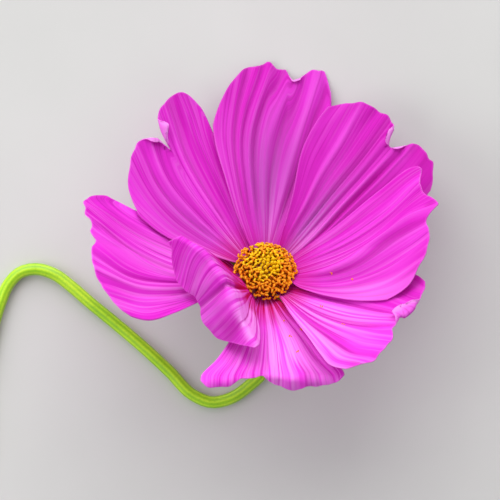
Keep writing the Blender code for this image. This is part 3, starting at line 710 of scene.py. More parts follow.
def make_blade(columns, rows, thickness, place_points):
    """A thin blade from a grid: returns the object, and for each point its share along and place across."""
    deselect()
    bpy.ops.mesh.primitive_grid_add(x_subdivisions=columns, y_subdivisions=rows, size=2)
    obj = bpy.context.object
    grid = points_of(obj.data)
    along = (grid[:, 1] + 1) / 2
    across = grid[:, 0]
    set_points(obj.data, place_points(along, across))
    wall = obj.modifiers.new("thickness", "SOLIDIFY")
    wall.thickness = thickness
    wall.offset = 0
    choose(obj)
    bpy.ops.object.modifier_apply(modifier=wall.name)
    bpy.ops.object.shade_smooth()
    upper = np.zeros(len(obj.data.vertices))
    upper[:len(along)] = 1
    note(obj.data, "upper_side", upper)
    return obj, np.tile(along, 2), np.tile(across, 2)


def gathered(at, low, high, centre, extra, spread):
    """Moves evenly spaced places so that they lie (1 + extra) times closer round a centre."""
    steps = np.linspace(low, high, 400)
    weight = 1 + extra * np.exp(-(((steps - centre) / spread) ** 2))
    walked = np.concatenate([[0], np.cumsum((weight[1:] + weight[:-1]) / 2)])
    return np.interp(at, low + (high - low) * walked / walked[-1], steps)


def petal_grid(petal, along, across):
    """The petal's grid, with its rows gathered at the tip and its columns at the notch."""
    return gathered(along, 0, 1, *TIP_GATHER), gathered(across, -1, 1, petal["notch"], *NOTCH_GATHER)


def patches(spots, vein, reach):
    """Soft spots of (vein, spread, reach, spread, strength), the strongest one at each point."""
    shares = [s * np.exp(-(((vein - v) / w) ** 2) - ((reach - r) / h) ** 2) for v, w, r, h, s in spots]
    return np.max(shares, axis=0) if shares else np.zeros_like(vein)


for number, (node, petal) in enumerate(PETALS.items(), 1):
    obj, along, across = make_blade(
        PETAL_COLUMNS, PETAL_ROWS, PETAL_THICKNESS,
        lambda s, t, p=petal: petal_points(p, *petal_grid(p, s, t)))
    along, across = petal_grid(petal, along, across)
    flat, reach = flat_place(petal, along, across)
    vein = vein_place(petal, along, across)
    # soft spots of colour: greyer mauve that is partly painted shade, darker pink that is painted shade
    # where one petal shades the next, and paler pink that is partly painted light
    mauve_and_painted_shade, pale_and_painted_light, painted_shade_spots = (patches(petal.get(key, ()), vein, reach) for key in ("mauve_and_painted_shade", "pale_and_painted_light", "painted_shade_spots"))
    strength, end = petal["crimson"]
    crimson = strength * np.clip((end - reach) / (CRIMSON_FADE * end), 0, 1)
    notes = {
        "petal_number": np.full(len(along), number), "reach": reach, "vein": vein,
        "rim_gap": nearest_rim(flat, outline_of(petal)[0])[1],
        "fold": folds(petal, along, across, reach),
        # painted shade: whole petals that face away from the light are darker, and so are the spots where
        # one petal shades the next
        "mauve_and_painted_shade": mauve_and_painted_shade, "pale_and_painted_light": pale_and_painted_light, "depth": np.maximum(petal["depth"], painted_shade_spots),
        "crimson": crimson * (1 - PALE_OVER_CRIMSON * np.clip(pale_and_painted_light - 0.5, 0, 0.5)),
    }
    for name, values in notes.items():
        note(obj.data, name, values)
    place = around_head(petal["azimuth"], petal["rise"], petal["roll"],
                        petal.get("seat", PETAL_SEAT), petal["lift"])
    keep(obj, f"{node}_blade", place, petal_tissue, "petal", node)
print(len(PETALS), "blades,", len(obj.data.polygons), "faces in each")

# %% [markdown]
# ## The disc
# The yellow disc is a crowd of tiny tubular florets. Those in the middle are still closed buds. The
# open ones each hold a dark ring of anthers, and from it a golden style that splits in two arms, which
# curl over with blunt ends. The florets stand in the spiral order that all daisies share: each one is
# turned from the last by the golden angle. One bud and eight open florets are modelled, and copied.

# %% [markdown]
# ### What floret tissue looks like
# A floret is waxy tissue dusted with pollen: matt and finely grained, with a warm glow where light
# passes through it. Its colour runs from dark at the foot to gold or amber at the top, so it is kept
# on the mesh, one colour for each vertex: the gold and amber are its own, and the darker foot is
# painted shade deep among the crowded florets. The grain is about 0.4 mm, a little coarser than real
# pollen, so that it shows.

# %% The floret material
FINE_GRAINS = 2.6           # grains to a millimetre


def make_floret_tissue():
    made, tree, shader = new_material("cosmos_floret_tissue", Roughness=0.5, Specular_IOR_Level=0.15)
    tint = add(tree, "ShaderNodeAttribute", output="Color", attribute_name="tint")
    place = add(tree, "ShaderNodeTexCoord", output="Object")
    fine = add(tree, "ShaderNodeTexNoise", {"Vector": place, "Scale": FINE_GRAINS / MM, "Detail": 2.0})
    shade = add(tree, "ShaderNodeValToRGB", {0: fine}, stops=((0.3, 0.85), (0.65, 1.0)))
    colour = add(tree, "ShaderNodeMix", {MIX_SHARE: 1.0, MIX_LOW: tint, MIX_HIGH: shade},
                 output=MIX_COLOUR, data_type="RGBA", blend_type="MULTIPLY")
    link_tissue(tree, shader, colour, fine, 0.4, 0.06, glow=0.15)
    return made


def tinted(mesh, colours):
    """Keeps a colour for each vertex, under the name that the floret material reads."""
    attribute = mesh.attributes.get("tint") or mesh.attributes.new("tint", "FLOAT_COLOR", "POINT")
    attribute.data.foreach_set("color", np.asarray(colours, np.float32).ravel())


floret_tissue = make_floret_tissue()
print("floret tissue ready")

# %% [markdown]
# ### One floret
# The corolla is a tube of five joined petals that flares into five small lobes. It is a ring of ten
# points, extruded upwards in steps that widen it; every second point of the last ring is pushed out
# to make the lobes. The anther ring is a short dark cylinder inside it. The style's arms are tapered
# curves with round ends, because a hand would draw them so.

# %% Model a corolla, an anther ring and the arms


def lathe(name, profile, sides):
    """A closed turned piece: a circle extruded ring by ring through (radius, height) and capped."""
    deselect()
    radius, height = profile[0]
    bpy.ops.mesh.primitive_circle_add(
        vertices=sides, radius=radius, location=(0, 0, height), fill_type="NGON")
    obj = bpy.context.object
    obj.name = name
    bpy.ops.object.mode_set(mode="EDIT")
    bpy.ops.mesh.select_all(action="SELECT")
    for wider, higher in profile[1:]:
        bpy.ops.mesh.extrude_region_move(TRANSFORM_OT_translate={"value": (0, 0, higher - height)})
        bpy.ops.transform.resize(
            value=(wider / radius, wider / radius, 1), center_override=(0, 0, higher))
        radius, height = wider, higher
    bpy.ops.mesh.select_all(action="SELECT")
    bpy.ops.mesh.normals_make_consistent(inside=False)
    bpy.ops.object.mode_set(mode="OBJECT")
    obj.data.transform(obj.matrix_world)
    obj.matrix_world = Matrix.Identity(4)
    return obj


def arm(points, radii):
    """A tapered tube along the points with closed, rounded ends, as a mesh."""
    curve = bpy.data.curves.new("arm", "CURVE")
    curve.dimensions = "3D"
    curve.bevel_depth = 1
    curve.bevel_resolution = 1
    curve.use_fill_caps = True
    spline = curve.splines.new("POLY")
    spline.points.add(len(points) - 1)
    for point, place, radius in zip(spline.points, points, radii):
        point.co = (*place, 1)
        point.radius = radius
    obj = bpy.data.objects.new("arm", curve)
    bpy.context.scene.collection.objects.link(obj)
    choose(obj)
    bpy.ops.object.convert(target="MESH")
    return bpy.context.object


def colour_by_height(obj, *stops):
    """Tints a part of a floret by height, from (height, sRGB hex) stops."""
    z = points_of(obj.data)[:, 2]
    heights = [s[0] for s in stops]
    colours = np.array([linear(s[1]) for s in stops])
    tinted(obj.data, np.column_stack([np.interp(z, heights, colours[:, k]) for k in range(4)]))


def joined(objects, name):
    """Joins pieces into one with this name."""
    deselect()
    for obj in objects:
        obj.select_set(True)
    bpy.context.view_layer.objects.active = objects[0]
    bpy.ops.object.join()
    whole = bpy.context.object
    whole.name = name
    return whole


# %% Join them into an open floret
COROLLA = ((0.2, 0), (0.24, 0.9), (0.3, 1.5), (0.42, 1.95), (0.56, 2.2), (0.5, 2.26), (0.3, 2.0))
LOBES = 5
LOBE_START, LOBE_DEPTH = 1.9, 0.3
LOBE_PUSH, LOBE_DROOP = 0.3, 0.15
LOBED_FROM = 0.4            # the radius past which the rim is lobed
ANTHERS = ((0.17, 1.9), (0.21, 2.3), (0.19, 2.75), (0.1, 2.85))
ANTHER_COLOURS = ((1.9, "#8A2806"), (2.6, "#4A1006"), (2.85, "#7A2A06"))
ARM_STEPS = np.linspace(0, 1, 9)
ARM_RADII = np.interp(ARM_STEPS, (0, 0.5, 0.9, 0.97, 1), (0.2, 0.23, 0.27, 0.24, 0.12))
ARM_CURL_RADIUS = 0.37
ARM_FOOT = (0.04, 2.55)
ARM_RISE = 0.2
# the darker low stops of these colours are painted shade deep among the florets
GOLD_COROLLA = ((0, "#B04A06"), (1.6, "#F09A08"), (2.2, "#FFC810"))
GOLD_ARM = ((2.3, "#EE8200"), (2.7, "#FFBE00"), (3.3, "#FFE01C"))
AMBER_COROLLA = ((0, "#7A1A08"), (1.5, "#CC4008"), (2.2, "#F4800A"))
AMBER_ARM = ((2.2, "#D84C00"), (2.75, "#FC8C00"), (3.3, "#FFBC28"))
CURLS = (
    ((0, 175, 0.15), (180, 200, -0.1)),
    ((10, 230, -0.25), (170, 150, 0.2)),
    ((-15, 130, 0.1), (200, 250, 0.3)),
    ((25, 210, 0.3), (150, 190, -0.3)),
)
BUD = ((0.2, 0), (0.26, 1.2), (0.4, 2.2), (0.46, 2.7), (0.38, 3.1), (0.2, 3.35), (0.06, 3.42))
BUD_COLOURS = ((0, "#A85A06"), (2.3, "#F8B406"), (3.0, "#FFDC10"), (3.4, "#FFD614"))


def lobed_corolla():
    """A corolla whose rim is pushed out and down into five lobes."""
    corolla = lathe("corolla", COROLLA, 2 * LOBES)
    x, y, z = points_of(corolla.data).T
    out = np.clip((z - LOBE_START) / LOBE_DEPTH, 0, 1) * (np.hypot(x, y) > LOBED_FROM)
    lobe = out * np.cos(LOBES * np.arctan2(y, x))
    push = 1 + LOBE_PUSH * lobe
    set_points(corolla.data, np.column_stack([x * push, y * push, z - LOBE_DROOP * lobe]))
    return corolla


def curled_arm(direction, over, side):
    """One arm of a style: its direction, how far it turns over, and how far it bends sideways."""
    heading = math.radians(direction)
    phi = ARM_STEPS * math.radians(over)
    away = ARM_FOOT[0] + ARM_CURL_RADIUS * (1 - np.cos(phi))
    up = ARM_FOOT[1] + ARM_RISE * ARM_STEPS + ARM_CURL_RADIUS * np.sin(phi)
    sideways = side * ARM_STEPS**2
    x = away * math.cos(heading) - sideways * math.sin(heading)
    y = away * math.sin(heading) + sideways * math.cos(heading)
    return arm(np.column_stack([x, y, up]), ARM_RADII)


def open_floret(name, curls, corolla_colours, arm_colours):
    """A floret of about 3.3 mm with one arm for each curl."""
    parts = [lobed_corolla(), lathe("anthers", ANTHERS, 8), *(curled_arm(*curl) for curl in curls)]
    for part, colours in zip(parts, (corolla_colours, ANTHER_COLOURS, *[arm_colours] * len(curls))):
        colour_by_height(part, *colours)
    return joined(parts, name)


gold_florets = [open_floret("gold_floret", curls, GOLD_COROLLA, GOLD_ARM) for curls in CURLS]
amber_florets = [open_floret("amber_floret", curls, AMBER_COROLLA, AMBER_ARM) for curls in CURLS]
bud = lathe("bud", BUD, 10)
colour_by_height(bud, *BUD_COLOURS)
print("a floret has", len(gold_florets[0].data.polygons), "faces, a bud", len(bud.data.polygons))

# %% [markdown]
# ### The crowd of florets
# Copies of the models go round in the golden spiral, upright in the middle and leaning out towards
# the rim, so that their tops make the low cushion of the disc. Gold ones stand inside and amber ones
# outside, mixed by chance between. The outermost ring of twenty-one sits exactly where the solids of
# the ring are, one piece for each, and each stands for its solid.

# %% Plant the inner florets
GOLDEN_ANGLE = 137.508
INNER_COUNT = 134
SPIRAL_STEP = 0.355
BUD_COUNT = 15
BUD_SHIFT = (1.0, 0.3)      # the buds' cluster lies off the middle
SHIFT_FADES_AT = 3.8
GOLD_REACH, LIT_TOP_GOLD_DROP, GOLD_BLEND = 1.6, 0.25, 1.8      # all gold inside; further out at the top as painted light on the lit top of the disc
FOOT_SHARE = 0.85           # a leaning floret's foot is nearer the axis than its top
DISC_REACH = 4.1
EDGE_LEAN = 60
DISC_FLOOR = 2.1
FLORET_CREASE = 60
rng = np.random.default_rng(11)


def planted(model, foot, lean, spin, scale):
    """A copy of a model, its foot on the disc, leaning away from the axis, in the head's frame."""
    made = model.copy()
    made.data = model.data.copy()
    bpy.context.scene.collection.objects.link(made)
    azimuth = math.atan2(foot[0], foot[1])
    turn = Matrix.Rotation(-azimuth, 4, "Z") @ Matrix.Rotation(math.radians(-lean), 4, "X")
    spun = Matrix.Rotation(math.radians(spin), 4, "Z") @ Matrix.Scale(scale, 4)
    made.data.transform(Matrix.Translation(foot) @ turn @ spun)
    return made


def any_of(models):
    """One of the models, drawn by chance."""
    return models[int(rng.integers(len(models)))]


inner = []
for k in range(INNER_COUNT):
    radius = SPIRAL_STEP * math.sqrt(k + 0.6)
    angle = math.radians(GOLDEN_ANGLE * k)
    fall = max(0, 1 - radius / SHIFT_FADES_AT)
    x = radius * math.sin(angle) + BUD_SHIFT[0] * fall
    y = radius * math.cos(angle) + BUD_SHIFT[1] * fall
    reach = math.hypot(x, y)
    if k < BUD_COUNT:
        model, spin, scale = bud, rng.uniform(0, 360), rng.uniform(0.86, 0.95)
    else:
        # gold reaches further out at the top of the disc: painted light where the top is lit
        gold = rng.random() > (reach - GOLD_REACH - LIT_TOP_GOLD_DROP * y) / GOLD_BLEND
        model = any_of(gold_florets if gold else amber_florets)
        scale, spin = rng.uniform(0.84, 1.02), rng.uniform(0, 360)
    foot = (FOOT_SHARE * x, FOOT_SHARE * y, DISC_FLOOR)
    inner.append(planted(model, foot, EDGE_LEAN * (reach / DISC_REACH) ** 1.2, spin, scale))
disc_crowd = joined(inner, "disc_crowd")
smooth_shaded(disc_crowd, FLORET_CREASE)
keep(disc_crowd, "inner_florets", head, floret_tissue, "floret", "floret_dome")
print(INNER_COUNT, "inner florets,", len(disc_crowd.data.polygons), "faces")

# %% Plant the outer ring
RING_COUNT = 21
RING_SEAT = 3.6
RING_LIFT = 2.65
RING_LEANS = (
    (0, 76), (45, 72), (90, 58), (115, 54), (145, 78), (180, 88), (205, 66), (225, 38), (245, 38),
    (265, 66), (300, 80), (360, 76),
)
TOP_SHORTER = 0.12          # how much shorter a floret is at the top of the disc
for k in range(RING_COUNT):
    azimuth = 360 * (k + 0.5) / RING_COUNT
    turn = math.radians(azimuth)
    foot = (RING_SEAT * math.sin(turn), RING_SEAT * math.cos(turn), RING_LIFT)
    model, spin = any_of(amber_florets), rng.uniform(-40, 40)
    scale = rng.uniform(0.84, 1.0) * (1 - TOP_SHORTER * max(0, math.cos(turn)))
    floret = planted(model, foot, float(smooth(RING_LEANS, azimuth)), spin, scale)
    smooth_shaded(floret, FLORET_CREASE)
    keep(floret, f"ring_floret_{k + 1:02d}", head, floret_tissue, "floret", f"disc_floret_{k + 1:02d}")
for model in [*gold_florets, *amber_florets, bud]:
    bpy.data.objects.remove(model)
print(RING_COUNT, "ring florets")

# %% [markdown]
# Ripe florets shed pollen, and a few sticky grains always lie on the petals below. Each grain is an
# icosphere of a tenth to a fifth of a millimetre, set on the blade in a little clump.

# %% Scatter a few grains of pollen
POLLEN_PLACES = {
    "petal_5": ((-0.8, 0.43), (-0.93, 0.64), (-0.48, 0.48), (-0.49, 0.65), (-0.53, 0.31)),
    "petal_3": ((0.33, 0.26), (0.55, 0.4)),
    "petal_4": ((0.1, 0.35), (0.3, 0.6)),
}
GRAINS_IN_CLUMP = 4
GRAIN_HEIGHT = 0.18
GRAIN_SPREAD = (0.015, 0.006)   # across and along, as shares of the petal
grains = []
for node, places in POLLEN_PLACES.items():
    petal = PETALS[node]
    place = around_head(petal["azimuth"], petal["rise"], petal["roll"], PETAL_SEAT, petal["lift"])
    for across, reach in places:
        for _ in range(GRAINS_IN_CLUMP):
            t = across + rng.normal(0, GRAIN_SPREAD[0])
            along = (reach + rng.normal(0, GRAIN_SPREAD[1])) / smooth(petal["tip"], t)
            x, y, z = petal_points(petal, np.array([along]), np.array([t]))[0]
            deselect()
            bpy.ops.mesh.primitive_ico_sphere_add(
                subdivisions=1, radius=rng.uniform(0.1, 0.18), location=(x, y, z + GRAIN_HEIGHT))
            grain = bpy.context.object
            grain.data.transform(place @ grain.matrix_world)
            grain.matrix_world = Matrix.Identity(4)
            grains.append(grain)
pollen = joined(grains, "pollen")
tinted(pollen.data, [linear("#FF9C1C")] * len(pollen.data.vertices))
choose(pollen)
bpy.ops.object.shade_smooth()
keep(pollen, "pollen_grains", Matrix.Identity(4), floret_tissue, "floret")
print(len(grains), "grains of pollen")

# %% [markdown]
# ## Receptacle and chaff
# Under the florets the receptacle's top is covered with papery chaff, coloured dark maroon as painted
# shade, so that it shows as maroon gaps between the yellow. The receptacle itself is the green cup that
# carries everything: a turned form with sixteen faint ribs, so it is a circle extruded ring by ring
# through a profile, as on a lathe. Painted shade turns the top of the cup maroon under the disc.
#
# Both are thick leafy tissue with a satin skin. Its tones are blotches of 1.6 mm on the cup and 0.4 mm
# on the chaff, and its skin has cells of about 0.24 mm, drawn coarser than real ones so that they show.

# %% Leafy tissue material
SKIN_CELLS = 4.2            # cells to a millimetre
# the maroon of painted shade on the top of the cup, under the disc
PAINTED_SHADE_MAROON = "#6A0818"


def make_leafy_tissue(name, dark, mid, light, size):
    """Satin tissue in three tones, in blotches of the given size in millimetres."""
    made, tree, shader = new_material(name, Roughness=0.5, Specular_IOR_Level=0.4)
    place = add(tree, "ShaderNodeTexCoord", output="Object")
    tone = add(tree, "ShaderNodeTexNoise", {"Vector": place, "Scale": 1 / (size * MM), "Detail": 3.0})
    rib, painted_crown_shade = (
        add(tree, "ShaderNodeAttribute", output="Fac", attribute_name=name) for name in ("rib", "painted_crown_shade"))
    tones = weighed(tree, (tone, 0.6), (rib, 0.4))
    colour = add(tree, "ShaderNodeValToRGB", {0: tones}, stops=((0.25, dark), (0.5, mid), (0.75, light)))
    # painted shade: the top of the cup turns maroon under the disc
    colour = lay_over(tree, colour, PAINTED_SHADE_MAROON, 1.0, painted_crown_shade)
    grain = add(tree, "ShaderNodeTexNoise", {"Vector": place, "Scale": SKIN_CELLS / MM, "Detail": 2.0})
    link_tissue(tree, shader, colour, grain, 0.25, 0.05)
    return made


receptacle_green = make_leafy_tissue("cosmos_receptacle_green", "#3F6A12", "#5E8E1E", "#86B034", 1.6)
# painted shade: the chaff is dark maroon, so that it shows as dark gaps between the florets
chaff_painted_shade = make_leafy_tissue("cosmos_chaff_painted_shade", "#5A1206", "#8E2C06", "#B8540A", 0.4)
print("green and maroon tissue ready")

# %% Make the receptacle and the chaff
RECEPTACLE_PROFILE = (
    (1.5, -4.5), (1.9, -4.1), (2.4, -3.55), (3.0, -3.1), (3.45, -2.65), (3.85, -2.2),
    (4.1, -1.8), (4.1, -0.5), (4.1, 0.8), (4.1, 2.2), (4.0, 2.5), (3.8, 2.6),
)
CHAFF_PROFILE = ((3.7, 2.5), (3.85, 2.75), (3.9, 3.05), (3.5, 3.3), (2.4, 3.7), (1.2, 3.95), (0.3, 4.0))
CUP_RIBS = 16
RIB_HEIGHT = 0.012
RIBS_END = 2
PAINTED_SHADE_START, PAINTED_SHADE_DEPTH = -1.8, 1.3    # painted shade: where the cup turns maroon on its way up under the disc
receptacle = lathe("cup", RECEPTACLE_PROFILE, 64)
shape = points_of(receptacle.data)
ribs = np.cos(CUP_RIBS * np.arctan2(shape[:, 1], shape[:, 0]))
ribbed = 1 + RIB_HEIGHT * ribs * (shape[:, 2] < RIBS_END)
note(receptacle.data, "rib", 0.5 + 0.5 * ribs)
note(receptacle.data, "painted_crown_shade", np.clip((shape[:, 2] - PAINTED_SHADE_START) / PAINTED_SHADE_DEPTH, 0, 1))
set_points(receptacle.data, shape * np.column_stack([ribbed, ribbed, np.ones_like(ribbed)]))
smooth_shaded(receptacle, 40)
keep(receptacle, "receptacle_cup", head, receptacle_green, "bract", "receptacle")
# the chaff bed is a dark sheet of painted shade under the florets
chaff = lathe("chaff", CHAFF_PROFILE, 48)
smooth_shaded(chaff, 50)
keep(chaff, "chaff_bed_painted_shade", head, chaff_painted_shade, "floret")
print("cup", len(receptacle.data.polygons), "faces")

# %% [markdown]
# ## Bracts
# A cosmos has two rows of bracts. The inner ones are broad and papery, yellow-green with a clear
# margin and darker parallel veins; the outer ones are narrow green leaves that spread out. Each is a
# grid again, drawn to a point and folded at its keel; the inner ones are bent back a little at the tip.

# %% [markdown]
# Bract tissue is thin, dry leaf with a soft shine and a little light through it: seven parallel veins
# from base to tip, blotches of about 1.4 mm, a papery margin, and a browned point. The veins and the
# margin follow the blade, so they are drawn from its UV map.

# %% Bract materials
BRACT_VEINS = 7
BRACT_BLOTCHES = 0.7        # blotches to a millimetre
BROWNED = "#8C4A1E"


def make_bract_tissue(name, body, vein, margin):
    made, tree, shader = new_material(name, Roughness=0.48, Specular_IOR_Level=0.42)
    uv = add(tree, "ShaderNodeUVMap", uv_map="UVMap")
    u, v = (add(tree, "ShaderNodeSeparateXYZ", {0: uv}, output=axis) for axis in "XY")
    turns = add(tree, "ShaderNodeMath", {0: u, 1: 2 * math.pi * BRACT_VEINS}, operation="MULTIPLY")
    wave = add(tree, "ShaderNodeMath", {0: turns}, operation="SINE")
    offset = add(tree, "ShaderNodeMath", {0: u, 1: 0.5}, operation="SUBTRACT")
    from_middle = add(tree, "ShaderNodeMath", {0: offset}, operation="ABSOLUTE")
    place = add(tree, "ShaderNodeTexCoord", output="Object")
    tone = add(tree, "ShaderNodeTexNoise", {"Vector": place, "Scale": BRACT_BLOTCHES / MM, "Detail": 3.0})
    colour = add(tree, "ShaderNodeValToRGB", {0: tone}, stops=((0.3, vein), (0.65, body)))
    for over, strength, value, low, high in (
        (vein, 0.6, wave, 0.55, 1.0), (margin, 1.0, from_middle, 0.36, 0.48), (BROWNED, 0.6, v, 0.85, 1.0),
    ):
        share = add(tree, "ShaderNodeMapRange", {0: value, 1: low, 2: high},
                    interpolation_type="SMOOTHSTEP")
        colour = lay_over(tree, colour, over, strength, share)
    link_tissue(tree, shader, colour, weighed(tree, (wave, 1.0), (tone, 0.5)), 0.3, 0.06, glow=0.2)
    return made


inner_bract_tissue = make_bract_tissue("cosmos_inner_bract", "#A9B63E", "#6E7A1E", "#D8CF7A")
outer_bract_tissue = make_bract_tissue("cosmos_outer_bract", "#5C9A22", "#35661A", "#7DB43A")
print("bract tissue ready")

# %% Make the bracts
KEEL_SLOPE = 0.24
RIPPLE = 0.05
INNER_BRACT = dict(
    length=9.5, width=4.6, bend=-0.25, widths=((0, 0.5), (0.3, 0.95), (0.45, 1.0), (0.75, 0.7), (1, 0.12)))
OUTER_BRACT = dict(width=1.9, bend=0.0, widths=((0, 0.7), (0.3, 1.0), (0.6, 0.75), (1, 0.16)))
INNER_BRACTS = [(45 * k + 22.5, 16.0) for k in range(8)]    # azimuth and rise
OUTER_BRACTS = (                                            # azimuth, rise and length
    (12, 1, 8.5), (58, -8, 10), (103, -30, 11), (146, -34, 10.5),
    (205, -30, 11), (238, -22, 9.5), (282, -12, 11), (327, -4, 9),
)


def bract_points(along, across, length, width, bend, widths):
    """Points of a keeled leaf, drawn to a point, with a fine ripple across it."""
    x = width / 2 * smooth(widths, along) * across
    ripple = RIPPLE * np.cos(BRACT_VEINS * math.pi * across) * np.sin(math.pi * along)
    return np.column_stack([x, along * length, KEEL_SLOPE * np.abs(x) + bend * along**3 + ripple])


for k, (azimuth, rise) in enumerate(INNER_BRACTS, 1):
    obj, _, _ = make_blade(24, 36, 0.2, lambda s, t: bract_points(s, t, **INNER_BRACT))
    place = around_head(azimuth, rise, seat=4.4, lift=-1.5)
    keep(obj, f"inner_bract_{k}_blade", place, inner_bract_tissue, "bract", f"inner_bract_{k}")
for k, (azimuth, rise, length) in enumerate(OUTER_BRACTS, 1):
    obj, _, _ = make_blade(16, 40, 0.28, lambda s, t, n=length: bract_points(s, t, n, **OUTER_BRACT))
    place = around_head(azimuth, rise, seat=3.9, lift=-2.8)
    keep(obj, f"outer_bract_{k}_blade", place, outer_bract_tissue, "bract", f"outer_bract_{k}")
print(len(INNER_BRACTS) + len(OUTER_BRACTS), "bracts")

# %% [markdown]
# ## The stem
# The stem is a smooth green stalk with faint ribs, a little swollen under the head, and cut clean at
# its end. It starts as a long upright cylinder whose sides are cut into rings; then every ring is
# moved to its place along the bend. The end face gets an inset, so that the cut shows rind and pith.

# %% [markdown]
# Stem skin is a waxy cuticle over juicy tissue, so it has a soft shine: a thin coat over a satin body.
# Long tones of about 6 mm vary the yellow-green, and fine flecks of 0.4 mm grain it.

# %% Stem material
STEM_TONES = 0.16           # changes to a millimetre


def make_stem_skin():
    made, tree, shader = new_material(
        "cosmos_stem_skin", Roughness=0.42, Specular_IOR_Level=0.45, Coat_Weight=0.12, Coat_Roughness=0.35)
    rib, cut = (
        add(tree, "ShaderNodeAttribute", output="Fac", attribute_name=name) for name in ("rib", "cut"))
    place = add(tree, "ShaderNodeTexCoord", output="Object")
    tone = add(tree, "ShaderNodeTexNoise", {"Vector": place, "Scale": STEM_TONES / MM, "Detail": 4.0})
    fine = add(tree, "ShaderNodeTexNoise", {"Vector": place, "Scale": FINE_GRAINS / MM, "Detail": 2.0})
    tones = weighed(tree, (tone, 0.65), (rib, 0.35))
    colour = add(tree, "ShaderNodeValToRGB", {0: tones},
                 stops=((0.28, "#84C010"), (0.5, "#A2D614"), (0.72, "#C0E828")))
    colour = lay_over(tree, colour, "#5C8E10", 0.25, fine, (0.3, 1.0), (0.5, 0.0))
    colour = lay_over(tree, colour, "#D9E6A6", 1.0, cut)
    link_tissue(tree, shader, colour, fine, 0.2, 0.05)
    return made


stem_skin = make_stem_skin()
print("stem skin ready")

# %% The stem's route
STEM_TOP = -4.8
STEM_REST = 1.25            # its radius, and so the height of its middle where it lies
STEM_STEPS = 800
STEM_START = ((-0.5, -3.9, 3.1), (-0.6, -6.6, 1.5), (-0.5, -9.5, 1.27))
STEM_BEND = (
    (-0.4, -12.5), (-0.6, -20), (-2.9, -22.2), (-6.6, -24.8), (-10.9, -25.7), (-14.6, -24.2),
    (-19.3, -19.5), (-24.8, -14.4), (-30.3, -9.7), (-35.8, -5.2), (-39.5, -2), (-43, 0.5),
    (-46.6, 1.5), (-49.7, 0.9), (-52.2, -1.5), (-53.8, -5), (-55.6, -11), (-57.4, -19),
    (-58.6, -28), (-59, -37),
)


def stem_path(count):
    """Points along the middle of the stem, evenly spaced, in millimetres on the surface."""
    start = np.array(head @ Vector((0, 0, STEM_TOP))) / MM
    route = [*STEM_START, *((x, y, STEM_REST) for x, y in STEM_BEND)]
    route = np.vstack([start, np.array(route) + (HEAD_PLACE[0], HEAD_PLACE[1], 0)])
    walked = np.concatenate([[0], np.cumsum(np.linalg.norm(np.diff(route, axis=0), axis=1))])
    at = np.linspace(0, walked[-1], count)
    return np.column_stack([smooth(np.column_stack([walked, route[:, k]]), at) for k in range(3)])


def frames_along(path):
    """Two crosswise directions at each point of the path, carried along it without a twist."""
    forward = np.gradient(path, axis=0)
    forward = forward / np.linalg.norm(forward, axis=1)[:, None]
    side = np.cross(forward[0], (0, 0, 1))
    sides = []
    for direction in forward:
        side = side - direction * (side @ direction)
        side = side / np.linalg.norm(side)
        sides.append(side)
    sides = np.array(sides)
    return sides, np.cross(forward, sides)


path = stem_path(STEM_STEPS)
sides, ups = frames_along(path)
print("the stem is", round(np.linalg.norm(np.diff(path, axis=0), axis=1).sum()), "mm long")

# %% Cut a cylinder into rings and inset its ends
STEM_SIDES = 48
STEM_RINGS = 420
RIND, PITH_EDGE = 0.12, 0.3
deselect()
bpy.ops.mesh.primitive_cylinder_add(vertices=STEM_SIDES, radius=1, depth=2)
stem = bpy.context.object
bpy.ops.object.mode_set(mode="EDIT")
bpy.ops.mesh.select_mode(type="EDGE")
bpy.ops.mesh.select_all(action="DESELECT")
bpy.ops.object.mode_set(mode="OBJECT")
for edge in stem.data.edges:
    a, b = (stem.data.vertices[i].co for i in edge.vertices)
    edge.select = abs(a.z - b.z) > 1
bpy.ops.object.mode_set(mode="EDIT")
bpy.ops.mesh.subdivide(number_cuts=STEM_RINGS)
bpy.ops.mesh.select_mode(type="FACE")
bpy.ops.mesh.select_all(action="DESELECT")
bpy.ops.object.mode_set(mode="OBJECT")
for face in stem.data.polygons:
    face.select = abs(face.normal.z) > 0.9
bpy.ops.object.mode_set(mode="EDIT")
bpy.ops.mesh.inset(thickness=RIND)
bpy.ops.mesh.inset(thickness=PITH_EDGE)
bpy.ops.object.mode_set(mode="OBJECT")
print("rings:", STEM_RINGS + 2)

# %% Lead the rings along the bend
STEM_GIRTH = ((0, 1.12), (0.03, 1.02), (0.2, 1.0), (0.6, 0.99), (1, 1.0))
STEM_RIBS = 8
GROOVE = 0.025
CUT_EDGE = 0.9              # the share of the radius inside which an end shows its cut


def read_at(rows, at):
    """The rows of a table, read between two of them at each place."""
    return np.column_stack([np.interp(at, np.arange(len(rows)), rows[:, k]) for k in range(3)])


straight = points_of(stem.data)
share = (1 - straight[:, 2]) / 2
turn = np.arctan2(straight[:, 1], straight[:, 0])
radial = np.hypot(straight[:, 0], straight[:, 1])
ribs = 0.5 + 0.5 * np.cos(STEM_RIBS * turn)
at = share * (len(path) - 1)
radius = (STEM_REST * smooth(STEM_GIRTH, share) * radial * (1 - GROOVE + GROOVE * ribs))[:, None]
outward = np.cos(turn)[:, None] * read_at(sides, at) + np.sin(turn)[:, None] * read_at(ups, at)
set_points(stem.data, read_at(path, at) + radius * outward)
note(stem.data, "rib", ribs)
note(stem.data, "cut", (radial < CUT_EDGE).astype(float))
choose(stem)
bpy.ops.object.mode_set(mode="EDIT")
bpy.ops.mesh.select_all(action="SELECT")
bpy.ops.mesh.normals_make_consistent(inside=False)
bpy.ops.object.mode_set(mode="OBJECT")
smooth_shaded(stem, 50)
keep(stem, "stem_stalk", Matrix.Scale(MM, 4), stem_skin, "stem", "stem")
print("stem:", len(stem.data.polygons), "faces")

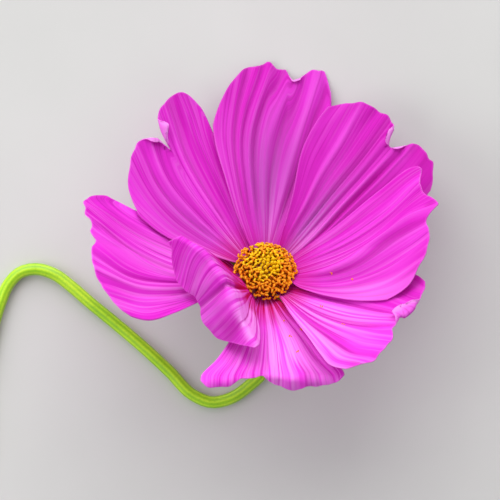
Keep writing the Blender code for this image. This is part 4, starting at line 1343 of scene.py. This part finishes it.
# %% [markdown]
# ## Floor, light and camera
# The floor is matt pale paint, so even that its tones can hardly be told apart. A large soft key light
# stands beyond the top of the flower, a weak fill at its left, and an edge light at its upper right,
# which lights the inner face of the folded petal; an even pale sky is all around. The camera looks
# straight down on the flower's face.

# %% Floor
PAINT_CLOUDS = 0.03         # clouds of tone to a millimetre
deselect()
bpy.ops.mesh.primitive_plane_add(size=1.6)
floor = bpy.context.object
floor.name = "floor"
floor_paint, tree, shader = new_material("matt_pale_paint", Roughness=0.8, Specular_IOR_Level=0.2)
place = add(tree, "ShaderNodeTexCoord", output="Object")
tone = add(tree, "ShaderNodeTexNoise", {"Vector": place, "Scale": PAINT_CLOUDS / MM, "Detail": 3.0})
colour = add(tree, "ShaderNodeValToRGB", {0: tone}, stops=((0.3, "#C8C7C5"), (0.7, "#CCCBC9")))
tree.links.new(colour, shader.inputs["Base Color"])
floor.data.materials.append(floor_paint)
print("floor ready")

# %% Light
SKY_COLOUR = (0.96, 0.98, 1.0, 1)
SKY_STRENGTH = 0.47
LIGHTS = {                  # place in metres, size in metres, power in watts
    "key": ((-0.3, 1.16, 0.84), 1.6, 24.0),
    "fill": ((-0.55, -0.1, 0.5), 0.5, 2.0),
    "edge": ((0.8, 1.2, 0.44), 1.0, 7.2),
}
scene = bpy.context.scene
scene.view_settings.view_transform = "Standard"
scene.world = bpy.data.worlds.new("soft_studio")
scene.world.use_nodes = True
sky = scene.world.node_tree.nodes["Background"]
sky.inputs["Color"].default_value = SKY_COLOUR
sky.inputs["Strength"].default_value = SKY_STRENGTH
for name, (place, size, power) in LIGHTS.items():
    deselect()
    bpy.ops.object.light_add(type="AREA", location=place)
    light = bpy.context.object
    light.name = name
    light.data.shape = "SQUARE"
    light.data.size = size
    light.data.energy = power
    light.rotation_euler = (-Vector(place)).to_track_quat("-Z", "Y").to_euler()
print("lights:", list(LIGHTS))

# %% Camera
CAMERA_HEIGHT = 0.5
CAMERA_AHEAD = (-2.9, 5.4)  # from the head, in millimetres
SENSOR_WIDTH, FOCAL_LENGTH = 36, 175.7
x, y = ((HEAD_PLACE[k] + CAMERA_AHEAD[k]) * MM for k in (0, 1))
deselect()
bpy.ops.object.camera_add(location=(x, y, CAMERA_HEIGHT))
camera = bpy.context.object
camera.data.sensor_width = SENSOR_WIDTH
camera.data.lens = FOCAL_LENGTH
scene.camera = camera
print("camera at", [round(v, 3) for v in camera.location])
